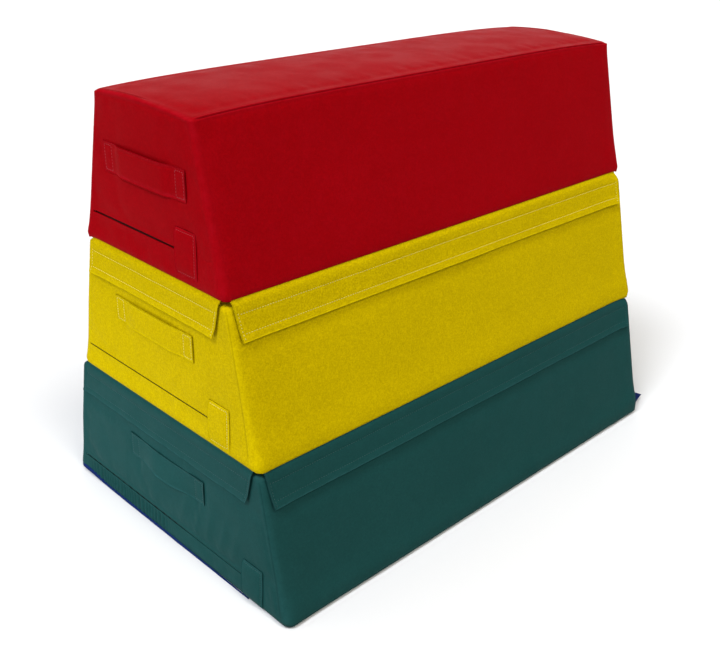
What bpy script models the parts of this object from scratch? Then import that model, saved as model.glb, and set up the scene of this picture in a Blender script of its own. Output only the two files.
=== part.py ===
"""A trapezoid gymnastics mat: three foam tiers in zipped vinyl covers, held together by skirt flaps.

Metres, +Z up. The origin is the centre of the face that the mat stands on. X runs along the length:
the short end at -X is the near end, with the zips, and the one at +X is the far end. The long side
at -Y is the front, the one at +Y is the back.
"""

import math

import bmesh
import bpy
from mathutils import Matrix, Vector

# The whole stack
LENGTH = 1.2192
BASE_WIDTH = 0.762
TOP_WIDTH = 0.300
TIER_HEIGHT = 0.314
TIERS = ("bottom", "middle", "top")
STACK_HEIGHT = TIER_HEIGHT * len(TIERS)
GAP = 0.0003  # between pieces that touch

# Covers and foam
WALL = 0.0012
SIDE_RADIUS = 0.008
TOP_RADIUS = 0.008
BOTTOM_RADIUS = 0.003
CROWN = 0.004
CORNER_DROOP = 0.008
CROWN_LINES_ALONG = (0.3, 0.6, 0.8, 0.92)  # shares of the half length, where the crown's faces meet
CROWN_LINES_ACROSS = (0.4, 0.75)
CROWN_POWER = 4
DROOP_POWER_ALONG = 5
DROOP_POWER_ACROSS = 2

# Flaps with their hook and loop strips
SHEET = 0.0012
FLAP_DROP = 0.077
FLAP_END_INSET = 0.011
FLAP_CORNER_INSET = 0.014
FLAP_SIDE_TAPER = 0.006
FLAP_RAMP = 0.012
FLAP_BEAD_STEPS = 6
SEAM_RISE = 0.0025
STRIP = 0.001
STRIP_WIDTH = 0.040
STRIP_START = 0.024
STRIP_INSET = 0.022
BASE_HINGE_INSET = 0.005
BASE_CORNER_CLEARANCE = 0.010
PLATEAU_MARGIN = 0.006
PLATEAU_RAMP = 0.008

# Handles
HANDLE_LENGTH = 0.260
HANDLE_WIDTH = 0.054
HANDLE_THICKNESS = 0.0024
HANDLE_CLEARANCE = 0.011
HANDLE_TAB = 0.032
HANDLE_RISE_LENGTH = 0.060
HANDLE_SHIFT = 0.009
HANDLE_HEIGHT = {"bottom": 0.183, "middle": 0.188, "top": 0.190}
HANDLE_STEPS = 8

# Zips
SLIT_HEIGHT = {"bottom": 0.052, "middle": 0.058, "top": 0.064}
SLIT_OPENING = 0.005
SLIT_CORNER_INSET = 0.020
TAPE = 0.0006
TAPE_MARGIN = 0.0085
TAPE_OVERRUN = 0.006
TAPE_BAND = 0.0035
BEAD_RADIUS = 0.0011
BEAD_GAP = 0.0018
COIL_MOUTH = 60  # degrees, where the coil's round outline meets its tape
COIL_STEPS = 10
PLATE = 0.0012
PLATE_LENGTH = 0.018
PLATE_HEIGHT = 0.011
LEG_SPACING = 0.012
LEG_WIDTH = 0.002
LEG_HEIGHT = 0.0032
BRIDGE = 0.0015
PULL = 0.0015
PULL_RADIUS = 0.0045
PULL_HOLE_RADIUS = 0.0026
PULL_LENGTH = 0.024
PULL_TIP_RADIUS = 0.0032
PULL_STEPS = 10

# Patches over the closed ends of the zips
PATCH_WIDTH = 0.066
PATCH_HEIGHT = 0.088
PATCH_CORNER_INSET = 0.067
PATCH_CLEARANCE = 0.0058
PATCH_STEPS = 8
PATCH_SEAM_POWER = 4  # how squarely the swell ends at the upper and lower seams
PATCH_CLOSED_POWER = 5  # and at the seam across the closed end

# Sizes that follow
SLOPE = (BASE_WIDTH - TOP_WIDTH) / 2 / STACK_HEIGHT
SLOPE_ANGLE = math.atan(SLOPE)
BASE_RISE = GAP + STRIP + GAP + SHEET + GAP
FLAP_BEAD_RADIUS = BASE_RISE / 2 - GAP
HINGE_STANDOFF = GAP + FLAP_BEAD_RADIUS
SKIRT_OFFSET = GAP + STRIP + GAP + STRIP + GAP - HINGE_STANDOFF
BASE_OFFSET = GAP + STRIP + GAP - HINGE_STANDOFF
PLATE_DEPTH = WALL + GAP
BEAD_DEPTH = PLATE_DEPTH + PLATE + GAP
BACK_DEPTH = BEAD_DEPTH + 2 * BEAD_RADIUS + GAP
RELIEF_DEPTH = BACK_DEPTH + PLATE + GAP

VINYL = {
    "bottom": (0.016, 0.070, 0.062),
    "middle": (0.640, 0.420, 0.004),
    "top": (0.330, 0.004, 0.010),
    "base": (0.008, 0.014, 0.120),
}
FOAM = (0.55, 0.50, 0.36)
BLACK = (0.010, 0.010, 0.011)
STEEL = (0.45, 0.45, 0.46)
VINYL_ROUGHNESS = 0.45
CLOTH_ROUGHNESS = 0.90
STEEL_ROUGHNESS = 0.30


def half_width(z):
    """Half the width of the stack at height z."""
    return BASE_WIDTH / 2 - SLOPE * z


def floor_of(tier):
    return TIERS.index(tier) * TIER_HEIGHT


def clear_scene():
    for obj in list(bpy.data.objects):
        bpy.data.objects.remove(obj)


def new_collection(name):
    collection = bpy.data.collections.new(name)
    bpy.context.scene.collection.children.link(collection)
    return collection


def add_object(name, mesh, collection, matrix=None):
    obj = bpy.data.objects.new(name, mesh)
    collection.objects.link(obj)
    if matrix is not None:
        obj.matrix_world = matrix
    return obj


def paint(obj, colour, roughness, metallic=0.0):
    material = bpy.data.materials.new(obj.name + "_finish")
    material.use_nodes = True
    shader = material.node_tree.nodes["Principled BSDF"]
    shader.inputs["Base Color"].default_value = (*colour, 1.0)
    shader.inputs["Roughness"].default_value = roughness
    shader.inputs["Metallic"].default_value = metallic
    obj.data.materials.clear()
    obj.data.materials.append(material)


def hide_cutter(obj):
    obj.hide_render = True
    obj.display_type = "WIRE"


def add_boolean(obj, cutter, operation="DIFFERENCE"):
    modifier = obj.modifiers.new(cutter.name, "BOOLEAN")
    modifier.operation = operation
    modifier.solver = "EXACT"
    modifier.object = cutter


def box_mesh(name, low, high):
    """A cuboid mesh between two corners."""
    mesh = bmesh.new()
    bmesh.ops.create_cube(mesh, size=1.0)
    for vertex in mesh.verts:
        for axis in range(3):
            middle = (low[axis] + high[axis]) / 2
            vertex.co[axis] = middle + vertex.co[axis] * (high[axis] - low[axis])
    data = bpy.data.meshes.new(name)
    mesh.to_mesh(data)
    mesh.free()
    return data


def outline_mesh(name, outlines, thickness):
    """A flat outline in local XY, with any holes, made thickness deep about Z = 0."""
    curve = bpy.data.curves.new(name, "CURVE")
    curve.dimensions = "2D"
    curve.fill_mode = "BOTH"
    curve.extrude = thickness / 2
    for points in outlines:
        spline = curve.splines.new("POLY")
        spline.points.add(len(points) - 1)
        spline.use_cyclic_u = True
        for point, (x, y) in zip(spline.points, points):
            point.co = (x, y, 0.0, 1.0)
    source = bpy.data.objects.new(name + "_outline", curve)
    bpy.context.scene.collection.objects.link(source)
    graph = bpy.context.evaluated_depsgraph_get()
    data = bpy.data.meshes.new_from_object(source.evaluated_get(graph))
    bpy.data.objects.remove(source)
    mesh = bmesh.new()
    mesh.from_mesh(data)
    bmesh.ops.remove_doubles(mesh, verts=mesh.verts, dist=1e-6)
    bmesh.ops.recalc_face_normals(mesh, faces=mesh.faces)
    mesh.to_mesh(data)
    mesh.free()
    data.name = name
    return data


def arc(centre, radius, start, end, steps):
    """Points along an arc, with its angles in degrees."""
    points = []
    for step in range(steps + 1):
        angle = math.radians(start + (end - start) * step / steps)
        points.append((centre[0] + radius * math.cos(angle), centre[1] + radius * math.sin(angle)))
    return points


def axes_matrix(x_axis, y_axis, origin):
    """Places local X and Y along two world directions, with Z to suit."""
    x_axis = Vector(x_axis)
    y_axis = Vector(y_axis)
    z_axis = x_axis.cross(y_axis)
    matrix = Matrix((x_axis, y_axis, z_axis)).transposed().to_4x4()
    matrix.translation = Vector(origin)
    return matrix


def rounded(point, low, high, radii_low, radii_high):
    """A point on a sharp block, moved on to the same block with rounded edges."""
    core = Vector()
    reach = Vector()
    for axis in range(3):
        core[axis] = min(max(point[axis], low[axis] + radii_low[axis]), high[axis] - radii_high[axis])
        radius = radii_low[axis] if point[axis] < core[axis] else radii_high[axis]
        reach[axis] = (point[axis] - core[axis]) / radius
    reach.normalize()
    for axis in range(3):
        radius = radii_low[axis] if reach[axis] < 0 else radii_high[axis]
        core[axis] += reach[axis] * radius
    return core


def edge_lines(low, high, radius_low, radius_high):
    """Where a rounded edge starts and turns, at both ends of one side of a block."""
    turn = 1 - math.tan(math.pi / 8)
    lines = [low + radius_low * turn, low + radius_low]
    return lines + [high - radius_high, high - radius_high * turn]


def plateau_half_sizes():
    """Half sizes of the flat face that the bottom tier stands on, inside the folded base flaps."""
    margin = BASE_HINGE_INSET + FLAP_DROP + PLATEAU_MARGIN
    return LENGTH / 2 - margin, half_width(0) - margin


def tier_block(name, tier, inset, collection):
    """A tier's closed form: tapered, with rounded edges, taken in by inset on every side.

    The bottom tier stands on a plateau that leaves room round it for the folded base flaps, and
    the top tier has a crown that droops to its corners.
    """
    floor = floor_of(tier)
    lift = BASE_RISE if tier == "bottom" else 0.0
    middle_half = half_width(floor + TIER_HEIGHT / 2)
    low = Vector((-LENGTH / 2 + inset, -middle_half + inset, floor + lift + inset))
    high = Vector((LENGTH / 2 - inset, middle_half - inset, floor + TIER_HEIGHT - GAP - inset))
    side = SIDE_RADIUS - inset
    radii_low = (side, side, BOTTOM_RADIUS - inset)
    radii_high = (side, side, TOP_RADIUS - inset)
    if tier == "bottom":
        radii_low = (side, side, BOTTOM_RADIUS)
    plateau_x, plateau_y = plateau_half_sizes()
    plateau_y *= middle_half / half_width(0)

    mesh = bmesh.new()
    bmesh.ops.create_cube(mesh, size=1.0)
    for vertex in mesh.verts:
        vertex.co = [(low[axis] if vertex.co[axis] < 0 else high[axis]) for axis in range(3)]
    cuts = [edge_lines(low[axis], high[axis], radii_low[axis], radii_high[axis]) for axis in range(3)]
    if tier == "bottom":
        cuts[0] += [sign * (plateau_x + ramp) for sign in (-1, 1) for ramp in (0, PLATEAU_RAMP)]
        cuts[1] += [sign * (plateau_y + ramp) for sign in (-1, 1) for ramp in (0, PLATEAU_RAMP)]
    if tier == "top":
        cuts[0] += [sign * share * LENGTH / 2 for sign in (-1, 1) for share in CROWN_LINES_ALONG]
        cuts[1] += [sign * share * middle_half for sign in (-1, 1) for share in CROWN_LINES_ACROSS]
        cuts[1].append(0.0)
    for axis, positions in enumerate(cuts):
        normal = Vector([float(axis == other) for other in range(3)])
        for position in sorted(positions):
            parts = mesh.verts[:] + mesh.edges[:] + mesh.faces[:]
            bmesh.ops.bisect_plane(mesh, geom=parts, plane_co=normal * position, plane_no=normal)

    for vertex in mesh.verts:
        sharp = vertex.co.copy()
        vertex.co = rounded(sharp, low, high, radii_low, radii_high)
        on_plateau = abs(sharp.x) < plateau_x + GAP and abs(sharp.y) < plateau_y + GAP
        if tier == "bottom" and on_plateau and sharp.z < floor + TIER_HEIGHT / 2:
            vertex.co.z -= lift
        if tier == "top":
            along = abs(sharp.x) / (LENGTH / 2)
            across = abs(sharp.y) / middle_half
            up = (sharp.z - floor) / TIER_HEIGHT
            crown = CROWN * (1 - along**CROWN_POWER) * (1 - across**DROOP_POWER_ACROSS)
            droop = CORNER_DROOP * along**DROOP_POWER_ALONG * across**DROOP_POWER_ACROSS
            vertex.co.z += (crown - droop) * max(up, 0.0) ** 2
        vertex.co.y *= half_width(vertex.co.z) / middle_half
    bmesh.ops.recalc_face_normals(mesh, faces=mesh.faces)
    data = bpy.data.meshes.new(name)
    mesh.to_mesh(data)
    mesh.free()
    return add_object(name, data, collection)


def zip_place(tier):
    """Height of a tier's zip, the ends of its slit along Y, and where the closed slider stands."""
    z = floor_of(tier) + SLIT_HEIGHT[tier]
    patch_y = -half_width(z) + PATCH_CORNER_INSET + PATCH_WIDTH / 2
    start = patch_y - PATCH_WIDTH / 4
    end = half_width(z) - SLIT_CORNER_INSET
    return z, start, end, patch_y


def wall_box(name, tier_zip, depths, heights, collection):
    """A cutter along a zip, from one depth behind the near end to another."""
    z, start, end = tier_zip
    low = (-LENGTH / 2 + depths[0], start, z + heights[0])
    high = (-LENGTH / 2 + depths[1], end, z + heights[1])
    cutter = add_object(name, box_mesh(name, low, high), collection)
    hide_cutter(cutter)
    return cutter


def tape_half_height():
    """From the middle of the zip to the outer edge of a tape."""
    return BEAD_GAP / 2 + 2 * BEAD_RADIUS + TAPE_BAND + TAPE_MARGIN


def make_cover(tier, parts, cutters):
    """The vinyl cover: a shell with a slit for the zip."""
    cover = tier_block(tier + "_cover", tier, 0.0, parts)
    cavity = tier_block(tier + "_cavity", tier, WALL, cutters)
    hide_cutter(cavity)
    add_boolean(cover, cavity)
    z, start, end, _ = zip_place(tier)
    half = SLIT_OPENING / 2
    slit = wall_box(tier + "_slit", (z, start, end), (-WALL, 2 * WALL), (-half, half), cutters)
    add_boolean(cover, slit)
    paint(cover, VINYL[tier], VINYL_ROUGHNESS)


def make_core(tier, parts, cutters):
    """The foam block, relieved behind the zip for its tapes and its slider."""
    core = tier_block(tier + "_foam_core", tier, WALL + GAP, parts)
    z, start, end, _ = zip_place(tier)
    start -= TAPE_OVERRUN + 2 * GAP
    end += TAPE_OVERRUN + 2 * GAP
    outer = tape_half_height() + 2 * GAP
    inner = BEAD_GAP / 2 + 2 * BEAD_RADIUS + TAPE_BAND + TAPE + GAP
    shallow_depths = (0.0, PLATE_DEPTH + TAPE + GAP)
    shallow = wall_box(tier + "_tape_relief", (z, start, end), shallow_depths, (-outer, outer), cutters)
    deep_depths = (WALL / 2, RELIEF_DEPTH)
    deep = wall_box(tier + "_slider_relief", (z, start, end), deep_depths, (-inner, inner), cutters)
    add_boolean(core, shallow)
    add_boolean(core, deep)
    paint(core, FOAM, CLOTH_ROUGHNESS)


def make_tapes(tier, parts):
    """The zip's two tapes, each with the coil along its inner edge as one bead."""
    z, start, end, _ = zip_place(tier)
    length = end - start + 2 * TAPE_OVERRUN
    band_depth = BEAD_DEPTH + BEAD_RADIUS
    near_coil = BEAD_GAP / 2
    centre = near_coil + BEAD_RADIUS
    band_end = near_coil + 2 * BEAD_RADIUS + TAPE_BAND
    outer = tape_half_height()
    bead = arc((band_depth, centre), BEAD_RADIUS, COIL_MOUTH, -180 - COIL_MOUTH, COIL_STEPS)
    profile = bead + [
        (band_depth - TAPE / 2, band_end - TAPE),
        (PLATE_DEPTH, band_end - TAPE),
        (PLATE_DEPTH, outer),
        (PLATE_DEPTH + TAPE, outer),
        (PLATE_DEPTH + TAPE, band_end),
        (band_depth + TAPE / 2, band_end),
    ]
    for side, sign in (("upper", 1), ("lower", -1)):
        name = f"{tier}_zip_{side}_tape"
        data = outline_mesh(name, [[(depth, sign * height) for depth, height in profile]], length)
        origin = (-LENGTH / 2, (start + end) / 2, z)
        tape = add_object(name, data, parts, axes_matrix((1, 0, 0), (0, 0, 1), origin))
        paint(tape, BLACK, CLOTH_ROUGHNESS)


def slider_mesh(cutters):
    """The slider: two plates with a web between them, and a bridge on two legs outside the slit.

    Its origin is at the cover's outer face, midway along the slider, with X into the mat.
    """
    half_length = PLATE_LENGTH / 2
    half_height = PLATE_HEIGHT / 2
    half_web = BEAD_GAP / 2 - GAP
    bridge_depth = -(GAP + PULL + GAP)
    leg = LEG_SPACING / 2
    overlap = GAP
    boxes = [((PLATE_DEPTH, -half_length, -half_height), (PLATE_DEPTH + PLATE, half_length, half_height))]
    boxes.append(((BACK_DEPTH, -half_length, -half_height), (BACK_DEPTH + PLATE, half_length, half_height)))
    web_low = (PLATE_DEPTH + PLATE - overlap, -LEG_WIDTH, -half_web)
    boxes.append((web_low, (BACK_DEPTH + overlap, LEG_WIDTH, half_web)))
    for side in (-1, 1):
        leg_low = (bridge_depth - overlap, side * leg - LEG_WIDTH / 2, -LEG_HEIGHT / 2)
        leg_high = (PLATE_DEPTH + overlap, side * leg + LEG_WIDTH / 2, LEG_HEIGHT / 2)
        boxes.append((leg_low, leg_high))
    bridge_half = leg + LEG_WIDTH
    bridge_low = (bridge_depth - BRIDGE, -bridge_half, -LEG_HEIGHT / 2 - overlap)
    boxes.append((bridge_low, (bridge_depth, bridge_half, LEG_HEIGHT / 2 + overlap)))
    whole = add_object("slider_whole", box_mesh("slider_whole", *boxes[0]), cutters)
    hide_cutter(whole)
    for count, corners in enumerate(boxes[1:]):
        piece = add_object(f"slider_box_{count}", box_mesh(f"slider_box_{count}", *corners), cutters)
        hide_cutter(piece)
        add_boolean(whole, piece, "UNION")
    bpy.context.view_layer.update()
    graph = bpy.context.evaluated_depsgraph_get()
    return bpy.data.meshes.new_from_object(whole.evaluated_get(graph))


def make_slider(tier, mesh, parts):
    """A slider on its zip, and the pull that hangs on the leg nearer the closed end."""
    z, _, _, patch_y = zip_place(tier)
    face = -LENGTH / 2
    slider = add_object(tier + "_zip_slider", mesh.copy(), parts)
    slider.location = (face, patch_y, z)
    paint(slider, STEEL, STEEL_ROUGHNESS, 1.0)

    head = arc((0, 0), PULL_RADIUS, 0, 180, PULL_STEPS)
    tip = arc((0, PULL_TIP_RADIUS - PULL_LENGTH), PULL_TIP_RADIUS, 180, 360, PULL_STEPS)
    step = 360 / PULL_STEPS
    hole = arc((0, 0), PULL_HOLE_RADIUS, 0, 360 - step, PULL_STEPS - 1)
    data = outline_mesh(tier + "_zip_pull", [head + tip, hole], PULL)
    origin = (face - GAP - PULL / 2, patch_y - LEG_SPACING / 2, z)
    pull = add_object(tier + "_zip_pull", data, parts, axes_matrix((0, 1, 0), (0, 0, 1), origin))
    paint(pull, STEEL, STEEL_ROUGHNESS, 1.0)


def make_patch(tier, parts):
    """The patch over the closed end of the zip, arched open towards the slit and flat at its seams."""
    z, _, _, patch_y = zip_place(tier)
    mesh = bmesh.new()
    bmesh.ops.create_grid(mesh, x_segments=PATCH_STEPS, y_segments=PATCH_STEPS, size=0.5)
    for vertex in mesh.verts:
        across, up = vertex.co.x, vertex.co.y
        swell = (1 - abs(2 * up) ** PATCH_SEAM_POWER) * (1 - (0.5 - across) ** PATCH_CLOSED_POWER)
        depth = -LENGTH / 2 - GAP - PATCH_CLEARANCE * swell
        vertex.co = (depth, patch_y + across * PATCH_WIDTH, z + up * PATCH_HEIGHT)
    bmesh.ops.recalc_face_normals(mesh, faces=mesh.faces)
    if sum((face.normal.x for face in mesh.faces)) > 0:
        bmesh.ops.reverse_faces(mesh, faces=mesh.faces)
    data = bpy.data.meshes.new(tier + "_zip_garage")
    mesh.to_mesh(data)
    mesh.free()
    patch = add_object(tier + "_zip_garage", data, parts)
    shell = patch.modifiers.new("thickness", "SOLIDIFY")
    shell.thickness = WALL
    shell.offset = 1.0
    paint(patch, VINYL[tier], VINYL_ROUGHNESS)


def handle_clearance(y):
    """How far the strap's inner face stands off the wall, y from the middle of the handle."""
    reach = HANDLE_LENGTH / 2 - HANDLE_TAB - abs(y)
    share = min(max(reach / HANDLE_RISE_LENGTH, 0.0), 1.0)
    return GAP + HANDLE_CLEARANCE * share * share * (3 - 2 * share)


def make_handle(tier, end, parts):
    """A strap sewn flat at both ends, bowed off the wall between them."""
    outward = -1 if end == "near" else 1
    half = HANDLE_LENGTH / 2
    stations = [-half, -half + HANDLE_TAB]
    rise = [step / HANDLE_STEPS * HANDLE_RISE_LENGTH for step in range(1, HANDLE_STEPS + 1)]
    stations += [-half + HANDLE_TAB + distance for distance in rise]
    stations += [-station for station in reversed(stations)]
    inner = [(outward * handle_clearance(y), y) for y in stations]
    outer = [(outward * (handle_clearance(y) + HANDLE_THICKNESS), y) for y in stations]
    name = f"{tier}_handle_{end}"
    data = outline_mesh(name, [inner + outer[::-1]], HANDLE_WIDTH)
    height = floor_of(tier) + HANDLE_HEIGHT[tier]
    handle = add_object(name, data, parts)
    handle.location = (outward * LENGTH / 2, HANDLE_SHIFT, height)
    paint(handle, VINYL[tier], VINYL_ROUGHNESS)


def wall_axes(side):
    """Outward and up-wall directions of one side of the stack."""
    lean = Vector((0, math.sin(SLOPE_ANGLE), math.cos(SLOPE_ANGLE)))
    out = Vector((0, -math.cos(SLOPE_ANGLE), math.sin(SLOPE_ANGLE)))
    if side == "near":
        return Vector((-1, 0, 0)), Vector((0, 0, 1))
    if side == "far":
        return Vector((1, 0, 0)), Vector((0, 0, 1))
    if side == "front":
        return out, lean
    return Vector((0, -out.y, out.z)), Vector((0, -lean.y, lean.z))


def wall_point(side, z):
    """A point in the middle of one side's wall at height z."""
    if side in ("near", "far"):
        return Vector((-LENGTH / 2 if side == "near" else LENGTH / 2, 0, z))
    return Vector((0, -half_width(z) if side == "front" else half_width(z), z))


def flap_mesh(name, half_length, taper, offset):
    """A flap with a thick sewn root on the hinge line at its origin: X outward, Y up, Z along."""
    bead = arc((0, 0), FLAP_BEAD_RADIUS, 180, 0, FLAP_BEAD_STEPS)
    sheet = [
        (offset + SHEET, -FLAP_RAMP),
        (offset + SHEET, -FLAP_DROP),
        (offset, -FLAP_DROP),
        (offset, -FLAP_RAMP),
    ]
    data = outline_mesh(name, [bead + sheet], 2.0)
    for vertex in data.vertices:
        drop = max(-vertex.co.y, 0.0) / FLAP_DROP
        vertex.co.z *= half_length - taper * drop
    return data


def strip_mesh(name, half_length, offset):
    """A hook strip behind a flap, in the flap's own directions."""
    low = (offset - GAP - STRIP, -STRIP_START - STRIP_WIDTH, -half_length)
    return box_mesh(name, low, (offset - GAP, -STRIP_START, half_length))


def flap_half_length(side, z):
    """Half the length of a skirt flap at its seam."""
    if side in ("near", "far"):
        return half_width(z) - FLAP_CORNER_INSET
    return LENGTH / 2 - FLAP_END_INSET


def end_taper(side):
    """How much shorter a flap is at its free edge, at each end."""
    return FLAP_DROP * SLOPE if side in ("near", "far") else FLAP_SIDE_TAPER


def make_flap(tier, side, matrix, half_length, offset, colour, parts):
    """One flap and the hook strip on its inner face."""
    name = f"{tier}_flap_{side}"
    data = flap_mesh(name, half_length, end_taper(side), offset)
    flap = add_object(name, data, parts, matrix)
    paint(flap, colour, VINYL_ROUGHNESS)
    name = f"{tier}_hook_{side}"
    strip_half = half_length - end_taper(side) - STRIP_INSET / 2
    hook = add_object(name, strip_mesh(name, strip_half, offset), parts, matrix)
    paint(hook, colour, CLOTH_ROUGHNESS)


def make_skirt(tier, below, parts):
    """A tier's four flaps, over the walls of the tier below, and the loop strips they hold on to."""
    seam = floor_of(tier) + SEAM_RISE
    for side in ("near", "far", "front", "back"):
        outward, up = wall_axes(side)
        half_length = flap_half_length(side, seam)
        hinge = wall_point(side, seam) + outward * HINGE_STANDOFF
        matrix = axes_matrix(outward, up, hinge)
        make_flap(tier, side, matrix, half_length, SKIRT_OFFSET, VINYL[below], parts)
        name = f"{below}_loop_{side}"
        strip_half = half_length - end_taper(side) - STRIP_INSET / 2
        offset = 2 * GAP + STRIP - HINGE_STANDOFF
        loop = add_object(name, strip_mesh(name, strip_half, offset), parts, matrix)
        paint(loop, VINYL[below], CLOTH_ROUGHNESS)


def base_flap_half_length(side):
    """The end flaps are as on the other tiers, and the long ones stop clear of them when folded."""
    if side in ("near", "far"):
        return flap_half_length(side, 0.0)
    return LENGTH / 2 - BASE_HINGE_INSET - FLAP_DROP - BASE_CORNER_CLEARANCE


def make_base_flaps(parts):
    """The bottom tier's flaps: three are folded under, and the far one lies out on the floor."""
    height = BASE_RISE / 2
    for side in ("near", "far", "front", "back"):
        out = wall_axes(side)[0]
        level = Vector((out.x, out.y, 0)).normalized()
        edge = wall_point(side, 0.0)
        hinge = Vector((edge.x, edge.y, height)) - level * BASE_HINGE_INSET
        facing = Vector((0, 0, -1))
        to_root = level
        if side == "far":
            facing = Vector((0, 0, 1))
            to_root = -level
        matrix = axes_matrix(facing, to_root, hinge)
        make_flap("bottom", side, matrix, base_flap_half_length(side), BASE_OFFSET, VINYL["base"], parts)


def main():
    clear_scene()
    parts = new_collection("trapezoid_gymnastics_mat")
    cutters = new_collection("cutters")
    shared_slider = slider_mesh(cutters)
    for tier in TIERS:
        make_cover(tier, parts, cutters)
        make_core(tier, parts, cutters)
        make_tapes(tier, parts)
        make_slider(tier, shared_slider, parts)
        make_patch(tier, parts)
        for end in ("near", "far"):
            make_handle(tier, end, parts)
    for below, tier in zip(TIERS, TIERS[1:]):
        make_skirt(tier, below, parts)
    make_base_flaps(parts)


main()
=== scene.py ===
"""The trapezoid gymnastics mat: padded vinyl covers, flaps, handles and zips round the CAD frame."""

import math

import bmesh
import bpy
import numpy as np
from mathutils import Matrix, Vector, noise
from mathutils.kdtree import KDTree


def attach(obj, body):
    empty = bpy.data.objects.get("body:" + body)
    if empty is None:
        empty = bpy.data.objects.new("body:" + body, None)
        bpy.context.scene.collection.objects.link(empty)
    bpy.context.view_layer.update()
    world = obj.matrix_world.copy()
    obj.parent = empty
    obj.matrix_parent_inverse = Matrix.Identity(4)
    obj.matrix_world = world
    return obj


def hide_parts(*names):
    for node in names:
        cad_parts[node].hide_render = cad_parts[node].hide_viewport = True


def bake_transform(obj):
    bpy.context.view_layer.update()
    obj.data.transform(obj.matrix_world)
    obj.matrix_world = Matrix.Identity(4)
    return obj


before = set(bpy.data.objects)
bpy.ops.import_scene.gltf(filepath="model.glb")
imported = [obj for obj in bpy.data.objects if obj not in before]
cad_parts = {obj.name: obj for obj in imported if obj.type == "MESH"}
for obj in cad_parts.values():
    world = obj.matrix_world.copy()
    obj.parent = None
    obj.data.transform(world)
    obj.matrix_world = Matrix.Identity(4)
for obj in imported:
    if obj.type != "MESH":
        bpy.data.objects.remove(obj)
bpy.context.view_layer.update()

# The CAD model's sizes, in metres
LENGTH = 1.2192
BASE_WIDTH = 0.762
TOP_WIDTH = 0.300
TIER_HEIGHT = 0.314
TIERS = ("bottom", "middle", "top")
SIDES = ("near", "far", "front", "back")
STACK_HEIGHT = TIER_HEIGHT * 3
SLOPE = (BASE_WIDTH - TOP_WIDTH) / 2 / STACK_HEIGHT
SLOPE_ANGLE = math.atan(SLOPE)
GAP = 0.0003
BASE_RISE = 0.0031
SEAM_RISE = 0.0025
HINGE_STANDOFF = 0.00155
FLAP_DROP = 0.077
FLAP_END_INSET = 0.011
FLAP_CORNER_INSET = 0.014
FLAP_SIDE_TAPER = 0.006
STRIP_START = 0.024
STRIP_WIDTH = 0.040
STRIP_INSET = 0.022
BASE_HINGE_INSET = 0.005
BASE_CORNER_CLEARANCE = 0.010
PLATEAU_MARGIN = 0.006
PLATEAU_RAMP = 0.008
HANDLE_LENGTH = 0.260
HANDLE_WIDTH = 0.054
HANDLE_TAB = 0.032
HANDLE_SHIFT = {"bottom": 0.002, "middle": 0.009, "top": 0.0005}
HANDLE_HEIGHT = {"bottom": 0.183, "middle": 0.188, "top": 0.190}
SLIT_HEIGHT = {"bottom": 0.052, "middle": 0.058, "top": 0.064}
SLIT_OPENING = 0.005
SLIT_CORNER_INSET = 0.020
CAD_PATCH_WIDTH = 0.066
PATCH_WIDTH = 0.059
PATCH_SHIFT = {"bottom": 0.0065, "middle": 0.001, "top": 0.006}
PATCH_HEIGHT = 0.088
PATCH_CORNER_INSET = 0.067

SLOT = {"bottom": "green_vinyl", "middle": "yellow_vinyl", "top": "red_vinyl", "base": "blue_vinyl"}
BELOW = {"middle": "bottom", "top": "middle", "bottom": "base"}


def half_width(z):
    return BASE_WIDTH / 2 - SLOPE * z


def floor_of(tier):
    return TIERS.index(tier) * TIER_HEIGHT


def smooth(low, high, x):
    t = np.clip((np.asarray(x, float) - low) / (high - low), 0, 1)
    return t * t * (3 - 2 * t)


def bell(x, width):
    return np.exp(-((np.asarray(x, float) / width) ** 2))


def past(x, half):
    """How far x lies outside of a band round zero."""
    return np.maximum(abs(x) - half, 0)


def insets(x, y, z):
    """How far a place lies inside the stack's near or far end, and inside its long walls."""
    return LENGTH / 2 - abs(x), half_width(z) - abs(y)


def unit(vectors):
    return vectors / np.maximum(np.linalg.norm(vectors, axis=-1, keepdims=True), 1e-12)


# ---- camera and stage

FOCAL_PIXELS = 974.70
PHOTO_WIDTH = 720
SENSOR_WIDTH = 36.0
CLIP_END = 400.0
CAMERA_PLACE = Vector((-1.51833, -1.47802, 1.32260))
CAMERA_AZIMUTH = math.radians(-44.644)
CAMERA_ELEVATION = math.radians(25.965)
CAMERA_ROLL = math.radians(1.2024)
FLOOR_SIZE = 120.0
FLOOR_COLOUR = (0.60, 0.60, 0.60, 1)
SKY_FADE = (0.06, 0.34, 1.0, 0.22)  # two heights in the sky, and how bright it is at each
SUNS = (  # name, where it shines from, strength, spread in degrees, colour
    ("end_light", (-0.62, -0.03, 0.90), 2.6, 20, (0.96, 1.0, 1.07)),
    ("side_light", (-0.03, -0.62, 0.85), 1.93, 20, (1.03, 0.99, 0.92)),
    ("sky_light", (-0.30, 0.15, 1.0), 1.05, 50, (1.0, 1.0, 1.0)),
    ("back_light", (0.63, 0.64, 0.44), 0.9, 60, (0.98, 0.99, 1.0)),
)
FILL_PLACE = (-1.25, 0.2, 0.12)
FILL_TARGET = (-0.6, 0.0, 0.15)
FILL_SIZE = (0.6, 0.2)
FILL_POWER = 3.0
FILL_COLOUR = (0.92, 1.0, 1.08)


def add_object(name, data):
    obj = bpy.data.objects.new(name, data)
    bpy.context.scene.collection.objects.link(obj)
    return obj


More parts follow.
